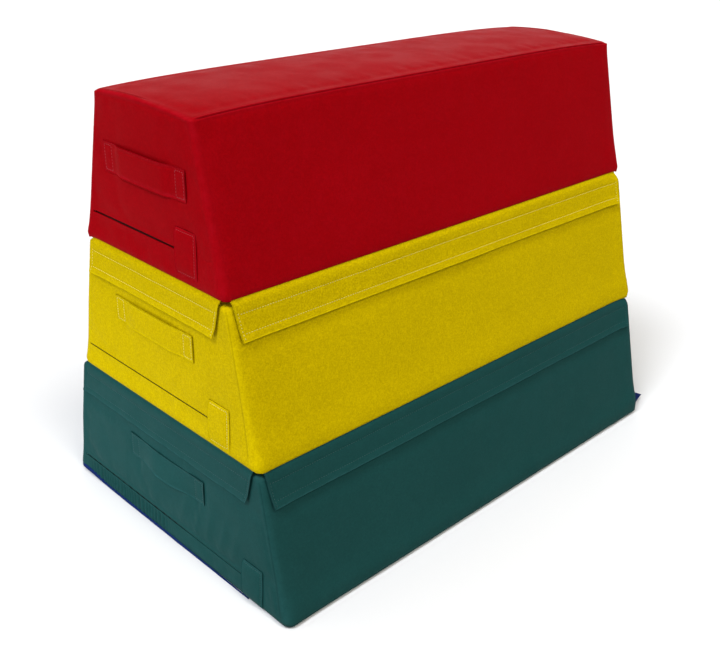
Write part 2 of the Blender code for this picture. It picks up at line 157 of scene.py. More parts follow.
def make_camera():
    az, el, roll = CAMERA_AZIMUTH, CAMERA_ELEVATION, CAMERA_ROLL
    back = Vector((math.sin(az) * math.cos(el), -math.cos(az) * math.cos(el), math.sin(el)))
    level = (-back).cross(Vector((0, 0, 1))).normalized()
    up = level.cross(-back)
    right = level * math.cos(roll) + up * math.sin(roll)
    top = up * math.cos(roll) - level * math.sin(roll)
    matrix = Matrix((right, top, back)).transposed().to_4x4()
    matrix.translation = CAMERA_PLACE
    data = bpy.data.cameras.new("photo_camera")
    data.sensor_width = SENSOR_WIDTH
    data.lens = FOCAL_PIXELS / PHOTO_WIDTH * SENSOR_WIDTH
    data.clip_end = CLIP_END
    camera = add_object("photo_camera", data)
    camera.matrix_world = matrix
    bpy.context.scene.camera = camera


def add_light(name, kind, source, strength, colour):
    data = bpy.data.lights.new(name, kind)
    data.energy = strength
    data.color = colour
    light = add_object(name, data)
    light.rotation_mode = "QUATERNION"
    light.rotation_quaternion = Vector(source).to_track_quat("Z", "Y")
    return light


def make_stage():
    mesh = bmesh.new()
    bmesh.ops.create_grid(mesh, x_segments=8, y_segments=8, size=FLOOR_SIZE)
    data = bpy.data.meshes.new("studio_floor")
    mesh.to_mesh(data)
    mesh.free()
    look = Nodes("studio_floor")
    data.materials.append(look.finish(Base_Color=FLOOR_COLOUR, Roughness=0.9, Specular_IOR_Level=0.1))
    floor = add_object("studio_floor", data)
    floor.location.z = -GAP

    bpy.context.scene.view_settings.view_transform = "Standard"
    world = bpy.data.worlds.new("studio")
    bpy.context.scene.world = world
    world.use_nodes = True
    nodes, link = world.node_tree.nodes, world.node_tree.links.new
    sky = nodes["Background"]
    sky.inputs["Color"].default_value = (1.0, 1.0, 1.0, 1)
    place = nodes.new("ShaderNodeTexCoord")
    height = nodes.new("ShaderNodeSeparateXYZ")
    strength = nodes.new("ShaderNodeMapRange")
    for socket, value in zip(strength.inputs[1:5], SKY_FADE):
        socket.default_value = value
    link(place.outputs["Generated"], height.inputs[0])
    link(height.outputs["Z"], strength.inputs[0])
    link(strength.outputs[0], sky.inputs["Strength"])
    for name, source, power, spread, colour in SUNS:
        add_light(name, "SUN", source, power, colour).data.angle = math.radians(spread)
    fill = add_light("low_fill", "AREA", Vector(FILL_PLACE) - Vector(FILL_TARGET), FILL_POWER, FILL_COLOUR)
    fill.location = FILL_PLACE
    fill.data.shape = "RECTANGLE"
    fill.data.size, fill.data.size_y = FILL_SIZE
    fill.visible_camera = False


# ---- materials


class Nodes:
    """Short calls for building one material's nodes."""

    def __init__(self, name):
        self.material = bpy.data.materials.new(name)
        self.material.use_nodes = True
        self.tree = self.material.node_tree
        self.shader = self.tree.nodes["Principled BSDF"]
        self.place = self.add("ShaderNodeTexCoord").outputs["Object"]

    def add(self, kind, **settings):
        node = self.tree.nodes.new(kind)
        for key, value in settings.items():
            setattr(node, key, value)
        return node

    def link(self, source, target):
        self.tree.links.new(source, target)

    def feed(self, socket, value):
        """Links a socket to another node's output, or gives it a value or a colour."""
        if isinstance(value, bpy.types.NodeSocket):
            self.link(value, socket)
        else:
            socket.default_value = (*value, 1.0) if isinstance(value, tuple) else value

    def texture(self, kind, inputs, output="Fac", place=None, **settings):
        node = self.add(kind, **settings)
        for key, value in inputs.items():
            node.inputs[key].default_value = value
        self.link(place or self.place, node.inputs["Vector"])
        return node.outputs[output]

    def noise(self, scale, detail=2.0, roughness=0.5, place=None):
        inputs = {"Scale": scale, "Detail": detail, "Roughness": roughness}
        return self.texture("ShaderNodeTexNoise", inputs, place=place)

    def cells(self, scale):
        return self.texture("ShaderNodeTexVoronoi", {"Scale": scale}, "Distance", feature="SMOOTH_F1")

    def waves(self, direction, scale, distortion):
        inputs = {"Scale": scale, "Distortion": distortion}
        return self.texture("ShaderNodeTexWave", inputs, wave_type="BANDS", bands_direction=direction)

    def stretch(self, scale):
        return self.texture("ShaderNodeMapping", {"Scale": scale}, "Vector")

    def ramp(self, value, low, high, first=0.0, last=1.0):
        node = self.add("ShaderNodeMapRange", interpolation_type="SMOOTHSTEP")
        names = ("Value", "From Min", "From Max", "To Min", "To Max")
        for name, number in zip(names, (value, low, high, first, last)):
            self.feed(node.inputs[name], number)
        return node.outputs["Result"]

    def math(self, operation, a, b):
        node = self.add("ShaderNodeMath", operation=operation)
        self.feed(node.inputs[0], a)
        self.feed(node.inputs[1], b)
        return node.outputs[0]

    def mix(self, share, a, b):
        node = self.add("ShaderNodeMix", data_type="RGBA")
        for socket, value in zip((node.inputs["Factor"], node.inputs[6], node.inputs[7]), (share, a, b)):
            self.feed(socket, value)
        return node.outputs[2]

    def wash(self, base, colour, share, *ramp):
        """The base with a share of the colour in it, where a value is high on its ramp."""
        return self.mix(self.math("MULTIPLY", self.ramp(*ramp), share), base, colour)

    def attribute(self, name):
        return self.add("ShaderNodeAttribute", attribute_name=name).outputs["Fac"]

    def bump(self, height, distance, strength=1.0, under=None):
        node = self.add("ShaderNodeBump")
        node.inputs["Strength"].default_value = strength
        node.inputs["Distance"].default_value = distance
        self.link(height, node.inputs["Height"])
        if under is not None:
            self.link(under, node.inputs["Normal"])
        return node.outputs["Normal"]

    def finish(self, colour=None, roughness=None, normal=None, **constants):
        for key, source in (("Base Color", colour), ("Roughness", roughness), ("Normal", normal)):
            if source is not None:
                self.link(source, self.shader.inputs[key])
        for key, value in constants.items():
            self.shader.inputs[key.replace("_", " ")].default_value = value
        return self.material


def shade(colour, factor):
    return tuple(channel * factor for channel in colour)


def vinyl_material(name, colour, worn, pebble, pebble_size, mottle, fleck, shine, gloss):
    """Coated fabric: a leather-like grain, cloudy colour, rubbed edges, painted shade in its grooves and
    folds, and a dull sheen.
    """
    n = Nodes(name)
    grain_cells = n.cells(1.0 / pebble_size)
    specks = n.noise(1.6 / pebble_size, 3.0, 0.65)
    base = n.mix(n.ramp(n.noise(5.0, 3.0), 0.3, 0.7), shade(colour, 0.96), shade(colour, 1.03))
    base = n.wash(base, worn, 0.12, n.noise(38.0, 2.0), 0.35, 0.75)
    base = n.wash(base, worn, mottle, specks, 0.35, 0.7)
    base = n.wash(base, shade(colour, 0.62), mottle * 0.7, grain_cells, 0.05, 0.5, 1.0, 0.0)
    base = n.wash(base, shade(colour, 1 - 2 * fleck), 0.5, n.noise(270.0, 2.0, 0.7), 0.35, 0.65)
    lighter = n.ramp(n.noise(150.0, 3.0, 0.7), 0.45, 0.75, 0.0, 0.5)
    base = n.mix(lighter, base, shade(colour, 1 + 2 * fleck))
    base = n.wash(base, worn, n.attribute("wear"), n.noise(70.0, 4.0, 0.6), 0.35, 0.65, 0.15, 0.6)
    # Painted shade: the colour darkens towards a quarter of itself where the attribute marks a groove, a
    # fold or a gather valley.
    base = n.mix(n.math("MULTIPLY", n.attribute("crease_and_painted_shade"), 0.8), base, shade(colour, 0.25))
    sheen = n.ramp(n.noise(14.0, 3.0), 0.3, 0.7, shine - 0.05, shine + 0.06)
    rough = n.math("ADD", sheen, n.math("MULTIPLY", specks, 0.06))
    fine = n.bump(n.noise(2600.0, 2.0, 0.6), 0.00006, 0.6)
    grain = n.bump(grain_cells, pebble, 1.0, fine)
    swell_bump = n.bump(n.noise(26.0, 2.0), 0.0005, 0.5, grain)
    return n.finish(base, rough, swell_bump, Specular_IOR_Level=gloss)


def cloth_material(name, colour, light, pitch, depth, roughness):
    """Woven or knitted cloth: crossed sets of ribs with a fuzzy surface."""
    n = Nodes(name)
    ribs = [n.waves(direction, 1.0 / pitch / 3.14, 1.2) for direction in "XYZ"]
    weave = n.math("MULTIPLY", n.math("MAXIMUM", ribs[0], ribs[1]), ribs[2])
    fuzz = n.noise(900.0, 4.0, 0.7)
    base = n.mix(n.ramp(weave, 0.1, 0.9), shade(colour, 0.6), colour)
    base = n.wash(base, light, 0.5, fuzz, 0.4, 0.8)
    rough = n.ramp(n.noise(60.0), 0.3, 0.7, roughness - 0.06, roughness)
    return n.finish(base, rough, n.bump(weave, depth, 1.0, n.bump(fuzz, 0.0002, 0.6)))


def foam_material():
    n = Nodes("foam")
    pores = n.cells(900.0)
    base = n.mix(n.ramp(n.noise(6.0, 3.0), 0.3, 0.7), (0.60, 0.52, 0.33), (0.70, 0.63, 0.43))
    base = n.wash(base, (0.30, 0.25, 0.14), 0.5, pores, 0.0, 0.4, 1.0, 0.0)
    rough = n.ramp(n.noise(40.0), 0.3, 0.7, 0.88, 0.97)
    return n.finish(base, rough, n.bump(n.cells(260.0), 0.0006, 0.5, n.bump(pores, 0.0003, 0.8)))


def metal_material():
    n = Nodes("zip_metal")
    brushed = n.noise(900.0, 3.0, 0.6, n.stretch((1.0, 0.05, 1.0)))
    stains = n.ramp(n.noise(160.0, 3.0), 0.35, 0.7)
    base = n.mix(stains, (0.50, 0.50, 0.51), (0.33, 0.32, 0.31))
    base = n.wash(base, (0.62, 0.62, 0.63), 0.3, brushed, 0.4, 0.7)
    rough = n.ramp(brushed, 0.3, 0.7, 0.24, 0.42)
    return n.finish(base, rough, n.bump(brushed, 0.00003, 0.5), Metallic=1.0)


def plastic_material():
    """The zip's black coil."""
    n = Nodes("zip_coil")
    stains = n.ramp(n.noise(300.0, 3.0), 0.3, 0.7)
    base = n.mix(stains, (0.003, 0.003, 0.0035), (0.010, 0.010, 0.011))
    rough = n.ramp(n.noise(120.0), 0.3, 0.7, 0.30, 0.48)
    return n.finish(base, rough, n.bump(n.noise(2500.0), 0.00004, 0.5), Specular_IOR_Level=0.15)


def thread_material(name, colour):
    n = Nodes(name)
    twist = n.waves("DIAGONAL", 700.0, 0.6)
    base = n.mix(twist, shade(colour, 0.7), colour)
    base = n.mix(n.math("MULTIPLY", n.noise(400.0, 3.0), 0.3), base, shade(colour, 1.15))
    rough = n.ramp(n.noise(500.0), 0.3, 0.7, 0.55, 0.72)
    return n.finish(base, rough, n.bump(twist, 0.00015, 0.8))


# colour, colour where worn, depth and size of the pebbles, mottling, flecks, roughness and gloss
VINYLS = {
    "bottom": ((0.0068, 0.0405, 0.038), (0.014, 0.060, 0.060), 0.00010, 0.0016, 0.10, 0.10, 0.46, 0.015),
    "middle": ((0.375, 0.270, 0.0003), (0.50, 0.385, 0.0006), 0.00050, 0.0036, 0.55, 0.15, 0.52, 0.004),
    "top": ((0.222, 0.0006, 0.0024), (0.28, 0.003, 0.009), 0.00008, 0.0014, 0.08, 0.10, 0.46, 0.005),
    "base": ((0.0040, 0.0115, 0.068), (0.010, 0.025, 0.12), 0.00010, 0.0016, 0.10, 0.10, 0.46, 0.02),
}
THREADS = {
    "bottom": ("green_thread", (0.012, 0.054, 0.052)),
    "middle": ("yellow_thread", (0.54, 0.44, 0.07)),
    "top": ("red_thread", (0.28, 0.012, 0.024)),
    "base": ("blue_thread", (0.01, 0.02, 0.12)),
}
# colour, colour of the fuzz, pitch and depth of the ribs, roughness
CLOTHS = {
    "zip_tape": ((0.004, 0.004, 0.0045), (0.012, 0.012, 0.012), 0.0008, 0.00015, 0.90),
    "hook_strip": ((0.02, 0.02, 0.02), (0.07, 0.07, 0.07), 0.0014, 0.0005, 0.75),
    "loop_strip": ((0.03, 0.03, 0.03), (0.12, 0.12, 0.12), 0.0011, 0.0004, 0.95),
}


def make_materials():
    materials = {"foam": foam_material(), "coil": plastic_material(), "metal": metal_material()}
    for key, look in VINYLS.items():
        materials[key] = vinyl_material(SLOT[key], *look)
        materials[key + "_thread"] = thread_material(*THREADS[key])
    for name, look in CLOTHS.items():
        materials[name] = cloth_material(name, *look)
    return materials


# ---- mesh helpers


def dress(obj, body=None, node=None):
    """Puts a piece on its body and hides the CAD part that it replaces."""
    if body:
        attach(obj, body)
    if node:
        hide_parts(node)
    return obj


def new_piece(name, points, faces, material, body=None, node=None):
    data = bpy.data.meshes.new(name)
    data.from_pydata([tuple(p) for p in points], [], [tuple(int(i) for i in f) for f in faces])
    data.validate()
    data.polygons.foreach_set("use_smooth", [True] * len(data.polygons))
    data.materials.append(material)
    return dress(add_object(name, data), body, node)


def point_normals(points, quads):
    """Smooth normals of a mesh of quads."""
    a, b, c, d = (points[quads[:, k]] for k in range(4))
    face = np.cross(c - a, d - b)
    total = np.zeros_like(points)
    for k in range(4):
        np.add.at(total, quads[:, k], face)
    return unit(total)


def set_wear_and_shade(obj, values, name="wear"):
    attribute = obj.data.attributes.new(name, "FLOAT", "POINT")
    attribute.data.foreach_set("value", np.asarray(values, np.float32))


def soft_noise(points, scale, seed):
    """Smooth noise from -1 to 1 at each point."""
    shift = Vector((seed * 7.31, seed * 3.17, seed * 1.93))
    return np.array([noise.noise(Vector(p) * scale + shift) for p in points])


# ---- the padded covers

ARC_SHARES = tuple(1 - math.tan(math.radians(angle)) for angle in (45, 30, 15, 0))
EDGE_LINES = (0.0012, 0.0024, 0.0036, 0.0048, 0.0068, 0.0080, 0.0100, 0.0125)
CORNER_LINES = tuple(0.0025 + 0.0015 * k for k in range(12))
SLIT_LINES = (0.0, 0.002, 0.005)
COVER_STEP = 0.0075
COVER_STEP_ALONG_BASE = 0.011
TRIAL_STEP = 0.014
FOAM_STEP = 0.030
GATHER_PITCH = 0.0125
NEAR_RADIUS, FAR_RADIUS = 0.013, 0.005
FRONT_RADIUS, BACK_RADIUS = 0.013, 0.012
COVER_TOP_RADIUS = {"bottom": 0.009, "middle": 0.009, "top": 0.0035}
COVER_FLOOR_RADIUS = {"bottom": 0.003, "middle": 0.005, "top": 0.005}
CROWN = 0.004
CORNER_DROOP = 0.008
FACING = 0.7  # a point is on a side where its normal leans to it by more than this
FAR_AWAY = 9.0


def grid_lines(low, high, radius_low, radius_high, extra, step):
    """Where a block's surface is divided along one axis: finely round its edges, evenly between."""
    lines = [low + radius_low * share for share in ARC_SHARES]
    lines += [high - radius_high * share for share in ARC_SHARES]
    start, end = low + radius_low, high - radius_high
    count = max(2, round((end - start) / step))
    between = np.linspace(start, end, count + 1)[1:-1]
    kept = [x for x in between if all(abs(x - e) > 0.35 * step for e in extra)]
    lines = sorted(lines + kept + list(extra))
    return [x for k, x in enumerate(lines) if k == 0 or x - lines[k - 1] > 1e-6]


def block_surface(lines):
    """The grid points on a block's surface, its outward quads and each quad's side: (axis, end)."""
    sizes = [len(line) - 1 for line in lines]
    index, points, quads, sides = {}, [], [], []

    def point(*ijk):
        if ijk not in index:
            index[ijk] = len(points)
            points.append([lines[axis][ijk[axis]] for axis in range(3)])
        return index[ijk]

    for axis in range(3):
        u, v = (axis + 1) % 3, (axis + 2) % 3
        for end in (0, sizes[axis]):
            for i in range(sizes[u]):
                for j in range(sizes[v]):
                    corners = []
                    for di, dj in ((0, 0), (1, 0), (1, 1), (0, 1)):
                        ijk = [0, 0, 0]
                        ijk[axis], ijk[u], ijk[v] = end, i + di, j + dj
                        corners.append(point(*ijk))
                    quads.append(corners if end else corners[::-1])
                    sides.append((axis, 1 if end else -1))
    return np.array(points), np.array(quads), sides


def zip_span(tier):
    """The slit's height, its two ends along Y, and the middle of its patch."""
    z = floor_of(tier) + SLIT_HEIGHT[tier]
    edge = -half_width(z) + PATCH_CORNER_INSET
    patch_y = edge - PATCH_SHIFT[tier] + PATCH_WIDTH / 2
    return z, edge + CAD_PATCH_WIDTH / 4, half_width(z) - SLIT_CORNER_INSET, patch_y


def round_off(sharp, low, high, radii_low, radii_high):
    core = np.clip(sharp, low + radii_low, high - radii_high)
    radius = np.where(sharp < core, radii_low, radii_high)
    reach = unit((sharp - core) / radius)
    return core + reach * np.where(reach < 0, radii_low, radii_high)


class Cover:
    """One tier's cover while it is being shaped: its block with sharp edges, then rounded off."""

    def __init__(self, tier, step):
        self.tier = tier
        self.floor = floor_of(tier)
        self.mid = half_width(self.floor + TIER_HEIGHT / 2)
        self.slit = zip_span(tier)[:3]
        lift = BASE_RISE if tier == "bottom" else 0.0
        low = np.array([-LENGTH / 2, -self.mid, self.floor + lift])
        high = np.array([LENGTH / 2, self.mid, self.floor + TIER_HEIGHT - GAP])
        radii_low = np.array([NEAR_RADIUS, FRONT_RADIUS, COVER_FLOOR_RADIUS[tier]])
        radii_high = np.array([FAR_RADIUS, BACK_RADIUS, COVER_TOP_RADIUS[tier]])
        hinges = (LENGTH / 2 - BASE_HINGE_INSET, half_width(0) - BASE_HINGE_INSET)
        plateau = [hinge - FLAP_DROP - PLATEAU_MARGIN for hinge in hinges]
        shares = (1.0, self.mid / half_width(0))
        extra = self.extra_lines(low, high, plateau, shares, step < TRIAL_STEP)
        steps = [step] * 3
        if tier == "bottom" and step < TRIAL_STEP:
            steps = [COVER_STEP_ALONG_BASE, GATHER_PITCH / 4, step]
        lines = [grid_lines(*each) for each in zip(low, high, radii_low, radii_high, extra, steps)]
        self.sharp, self.quads, self.sides = block_surface(lines)
        self.inset_x = LENGTH / 2 - abs(self.sharp[:, 0])
        self.inset_y = self.mid - abs(self.sharp[:, 1])
        points = round_off(self.sharp, low, high, radii_low, radii_high)
        if tier == "bottom":
            across_plateau = plateau[1] * shares[1]
            on = (abs(self.sharp[:, 0]) < plateau[0] + GAP) & (abs(self.sharp[:, 1]) < across_plateau + GAP)
            points[on & (self.sharp[:, 2] < self.floor + TIER_HEIGHT / 2), 2] -= lift
        if tier == "top":
            along = abs(self.sharp[:, 0]) / (LENGTH / 2)
            across = abs(self.sharp[:, 1]) / self.mid
            up = np.clip((self.sharp[:, 2] - self.floor) / TIER_HEIGHT, 0, 1)
            crown = CROWN * (1 - along**4) * (1 - across**2)
            droop = CORNER_DROOP * along**5 * across**2
            points[:, 2] += (crown - droop) * up**2
        points[:, 1] *= half_width(points[:, 2]) / self.mid
        self.points = points
        self.normals = point_normals(points, self.quads)

    def extra_lines(self, low, high, plateau, shares, fine):
        """Grid lines along the slit, round the plateau underneath, and, if fine, beside seams and folds."""
        z, start, end = self.slit
        scale = self.mid / half_width(z)
        levels = [z + sign * (SLIT_OPENING / 2 + d) for d in SLIT_LINES for sign in (-1, 1)]
        extra = [[], [start * scale, end * scale], levels]
        if self.tier == "bottom":
            for axis in (0, 1):
                ramp = [plateau[axis], plateau[axis] + PLATEAU_RAMP]
                extra[axis] += [sign * line * shares[axis] for sign in (-1, 1) for line in ramp]
        if self.tier != "top" and fine:
            extra[1] += [low[1] + d for d in CORNER_LINES]
        if self.tier == "top" and fine:
            for axis in (0, 1):
                extra[axis] += [line for d in EDGE_LINES for line in (low[axis] + d, high[axis] - d)]
            extra[2] += [high[2] - d for d in EDGE_LINES]
        return extra

    def take_swell(self, trial):
        """The swell found on a coarser copy of this cover, carried over to these points."""
        tree = KDTree(len(trial.points))
        for index, point in enumerate(trial.points):
            tree.insert(point, index)
        tree.balance()
        self.out = np.zeros(len(self.points))
        for index, point in enumerate(self.points):
            near = tree.find_n(point, 4)
            weights = np.array([1 / (distance + 1e-5) ** 2 for _, _, distance in near])
            self.out[index] = (weights * trial.out[[i for _, i, _ in near]]).sum() / weights.sum()

    def free(self):
        """1 where the vinyl is free to swell, 0 where something is sewn to it or a tier holds it."""
        x, y, z = self.points.T
        up = z - self.floor
        n = self.normals
        inset_x, inset_y = insets(x, y, z)
        near, far = n[:, 0] < -FACING, n[:, 0] > FACING
        top = n[:, 2] > FACING
        value = smooth(0.006, 0.05, up) * (1 - smooth(TIER_HEIGHT - 0.03, TIER_HEIGHT - 0.006, up))
        if self.tier != "top":
            value = value * (1 - smooth(TIER_HEIGHT - 0.125, TIER_HEIGHT - 0.085, up))
        edge_x = inset_x + FAR_AWAY * (near | far)
        edge_y = inset_y + FAR_AWAY * (abs(n[:, 1]) > FACING)
        value = value * smooth(0.004, 0.06, np.minimum(edge_x, edge_y))
        if self.tier == "top":
            value = np.where(top, smooth(0.008, 0.07, np.minimum(inset_x, inset_y)), value)
        else:
            value = np.where(top, 0.0, value)
        value = np.where(n[:, 2] < -FACING, 0.0, value)
        slit_z, start, end = self.slit
        beside = np.maximum(np.maximum(start - 0.03 - y, y - end - 0.02), 0)
        off_slit = np.hypot(beside, past(z - slit_z, 0.008))
        value = np.where(near, value * smooth(0.0, 0.03, off_slit), value)
        patch_y = zip_span(self.tier)[3]
        off_patch = np.hypot(past(y - patch_y, PATCH_WIDTH / 2), past(z - slit_z, PATCH_HEIGHT / 2))
        value = np.where(near, value * smooth(0.0, 0.02, off_patch), value)
        along_tab = abs(y - HANDLE_SHIFT[self.tier]) - HANDLE_LENGTH / 2 + HANDLE_TAB / 2
        off_level = past(up - HANDLE_HEIGHT[self.tier], HANDLE_WIDTH / 2)
        off_tab = np.hypot(past(along_tab, HANDLE_TAB / 2), off_level)
        return np.where(near | far, value * smooth(0.0, 0.025, off_tab), value)


CLOTH_SETTINGS = {
    "quality": 5,
    "mass": 0.4,
    "tension_stiffness": 25,
    "compression_stiffness": 25,
    "shear_stiffness": 12,
    "bending_stiffness": 1.5,
    "vertex_group_mass": "sewn",
    "pin_stiffness": 1.0,
    "use_pressure": True,
    "uniform_pressure_force": 4.0,
    "shrink_min": -0.006,
}
START_SHRINK = 0.001
HELD_BELOW = 0.02
SWELL_CAP = 0.0035
SINK_CAP = 0.0012
SIM_FRAMES = 20


def swell(covers):
    """Blows the covers up a little with cloth, held at their seams, and keeps what moved, within limits."""
    scene = bpy.context.scene
    trial = []
    for cover in covers:
        start = cover.points - cover.normals * START_SHRINK * cover.free()[:, None]
        obj = new_piece("trial_" + cover.tier, start, cover.quads, None)
        pins = obj.vertex_groups.new(name="sewn")
        held = np.flatnonzero(cover.free() < HELD_BELOW)
        pins.add([int(i) for i in held], 1.0, "REPLACE")
        cloth = obj.modifiers.new("swell", "CLOTH")
        for key, value in CLOTH_SETTINGS.items():
            setattr(cloth.settings, key, value)
        cloth.settings.effector_weights.gravity = 0
        cloth.collision_settings.use_collision = False
        trial.append(obj)
    for count in range(1, SIM_FRAMES + 1):
        scene.frame_set(count)
    graph = bpy.context.evaluated_depsgraph_get()
    for cover, obj in zip(covers, trial):
        mesh = obj.evaluated_get(graph).to_mesh()
        co = np.zeros(len(mesh.vertices) * 3)
        mesh.vertices.foreach_get("co", co)
        moved = co.reshape(-1, 3) - cover.points
        out = (moved * cover.normals).sum(1)
        print(cover.tier, "swelled mm", round(out.min() * 1000, 2), round(out.max() * 1000, 2))
        cover.out = SWELL_CAP * np.tanh(out / SWELL_CAP)
        cover.out = np.maximum(cover.out, -SINK_CAP) * smooth(0.0, 0.3, cover.free())
        data = obj.data
        bpy.data.objects.remove(obj)
        bpy.data.meshes.remove(data)
    scene.frame_set(1)


# How much fuller than their plain blocks the covers stand, in metres
BELLY, BELLY_CORNER = 0.0020, 0.0018
FAR_FLARE, NEAR_FRONT_FLARE = 0.0035, 0.0030
LONG_FLARE = {"bottom": 0.0050, "middle": 0.0035, "top": 0.0}
FAR_FRONT_PUFF = {  # at the foot and at the top
    "bottom": (0.0040, 0.0060),
    "middle": (0.0040, 0.0065),
    "top": (0.0020, 0.0020),
}
NEAR_BACK_PUFF = {  # at the foot, half way up and at the top
    "bottom": (0.0016, 0.0074, 0.0080),
    "middle": (-0.0012, 0.0020, 0.0022),
    "top": (0.0050, 0.0028, 0.0004),
}
PLAIN_PUFF = 0.0006
TOP_EDGE_ROLL = 0.0018
SEAM_ROLL = 0.0016
UNEVENNESS = ((0.0006, 7.0, 1), (0.0003, 22.0, 2))  # height, scale and seed
GATHER_HEIGHT = 0.0020
LIP_HEIGHT = 0.0010
FOOT_LIFT = 0.0055  # how far the green foot's near back corner stands up over the blue roll
FOOT_LIFT_ZONE = (0.24, 0.37)
FOLDS = (  # on the green near end: where each one lies, its width and its height
    (-0.060, 0.012, 0.0024),
    (-0.105, 0.009, 0.0027),
    (-0.145, 0.011, 0.0025),
    (-0.190, 0.009, 0.0022),
    (-0.230, 0.010, 0.0016),
    (0.050, 0.020, 0.0012),
)


def belly(tier, y, z):
    """The end walls lean out below the slit, most at their corners. The cover and its patch share this."""
    up = z - floor_of(tier)
    low = smooth(0.002, 0.010, up)
    corner = smooth(0.070, 0.006, half_width(z) + y)
    return low * (BELLY * bell(up - 0.018, 0.034) + BELLY_CORNER * corner * bell(up - 0.022, 0.045))


def corner_puff(tier, x, y, z):
    """How much fuller the covers stand at the far front corner. The flaps over them share this."""
    low, high = FAR_FRONT_PUFF[tier]
    up = z - floor_of(tier)
    amount = low + (high - low) * np.clip(up / TIER_HEIGHT, 0, 1)
    if tier != "top":
        amount = amount * smooth(TIER_HEIGHT, TIER_HEIGHT - 0.022, up)
    amount = amount * bell(np.maximum(LENGTH / 2 - x, 0), 0.034)
    amount = amount * bell(np.maximum(half_width(z) + y, 0), 0.022)
    return amount * ((x > 0) & (y < 0))


def corner_droop(tier, x, y, up):
    """How far the lower tiers' upper corners sink: most at the near front, where a dark gap shows."""
    if tier == "top":
        return 0 * x
    reach = np.hypot(np.hypot(*insets(x, y, up + floor_of(tier))), TIER_HEIGHT - up)
    return np.where((x < 0) & (y < 0), 0.010, 0.0008) * bell(reach, 0.020)


def slit_half(tier, y):
    """Half of the slit's opening: the lips close it to about a slider's leg."""
    _, start, end, _ = zip_span(tier)
    wide = {"bottom": 0.0002, "middle": 0.0, "top": 0.0007}[tier] * bell(y - (start + end) / 2 - 0.02, 0.12)
    if tier != "bottom":
        return 0.0016 + wide
    uneven = 0.0013 * np.sin(y * 250 + np.sin(y * 60)) * smooth(-0.08, 0.0, y)
    return 0.0009 + 0.0004 * smooth(-0.10, 0.0, y) + wide + np.maximum(uneven, 0)


def shape_cover(cover):
    """Adds the swell, the flare at the lower corners, the roll over the flap seam and unevenness."""
    tier = cover.tier
    x, y, z = cover.points.T
    up = z - cover.floor
    n = cover.normals
    inset_x, inset_y = insets(x, y, z)
    near = n[:, 0] < -FACING
    level = abs(n[:, 2]) < 0.5
    ends = abs(n[:, 0])
    out = cover.out.copy()
    out += np.where(level, ends * belly(tier, y, z), 0)
    corner = smooth(0.070, 0.006, inset_x) * smooth(0.002, 0.010, up)
    flare = np.where(y > 0, 0.0, NEAR_FRONT_FLARE)
    flare = np.where(x > 0, FAR_FLARE * smooth(0.0, 0.045, up), flare)
    out += np.where(level, (1 - ends) * flare * corner * bell(up - 0.022, 0.045), 0)
    upright = bell(inset_x, 0.020) * bell(inset_y, 0.020)
    near_back = np.interp(up / TIER_HEIGHT, (0, 0.5, 1), NEAR_BACK_PUFF[tier])
    proud = np.where((x < 0) & (y > 0), near_back, PLAIN_PUFF) * upright + corner_puff(tier, x, y, z)
    if tier == "bottom":
        proud = proud * np.where(x > 0, smooth(0.0, 0.055, up), smooth(0.002, 0.012, up))
    out += np.where(level, proud, 0)
    out += np.where(level, (1 - ends) * LONG_FLARE[tier] * bell(up - 0.018, 0.032), 0)
    if tier == "top":
        roll = bell(cover.floor + TIER_HEIGHT - z, 0.020) * bell(np.minimum(inset_x, inset_y), 0.020)
        out += TOP_EDGE_ROLL * roll * (n[:, 2] > -0.5)
    if tier != "bottom":
        out += np.where(level, SEAM_ROLL * bell(up - 0.012, 0.012), 0)
    free = cover.free()
    for height, scale, seed in UNEVENNESS:
        out += height * soft_noise(cover.points, scale, seed) * free
    if tier == "bottom":
        lean = y + 0.35 * (up - 0.12)
        folds = np.zeros(len(x))
        for middle, width, height in FOLDS:
            folds += height * bell(lean - middle, width) * bell(up - 0.110, 0.045)
        out += np.where(near, folds * smooth(0.058, 0.075, up), 0)
        out += np.where(near, GATHER_HEIGHT * gathers(y, up), 0)
    slit_z, start, end = cover.slit
    off_slit = z - slit_z
    lips = np.where(near, LIP_HEIGHT * bell(abs(off_slit) - 0.0035, 0.0035), 0)
    out += lips * smooth(-0.012, 0.004, y - start) * smooth(-0.012, 0.004, end - y)
    points = cover.points + n * out[:, None]
    points[:, 2] -= corner_droop(tier, x, y, up)
    close = near * smooth(SLIT_OPENING / 2 + 0.006, SLIT_OPENING / 2, abs(off_slit))
    close = close * smooth(start - 0.004, start, y) * smooth(end + 0.004, end, y)
    points[:, 2] -= np.sign(off_slit) * (SLIT_OPENING / 2 - slit_half(tier, y)) * close
    if tier == "bottom":
        at_end = smooth(-LENGTH / 2 + 0.03, -LENGTH / 2 + 0.004, x)
        points[:, 2] += FOOT_LIFT * smooth(*FOOT_LIFT_ZONE, y) * at_end * smooth(0.030, 0.004, up)
    return points


def gathers(y, up):
    """The puckers between the green cover's zip and its foot: -1 in the valleys, 1 on the ridges."""
    drift = 0.004 * np.sin(y * 31) + 0.003 * np.sin(y * 77)
    share = smooth(-0.03, 0.06, y) * smooth(0.352, 0.30, y)
    share = share * smooth(0.004, 0.016, up) * smooth(0.052, 0.040, up)
    return np.sin((y + drift) / GATHER_PITCH * 2 * math.pi) * share


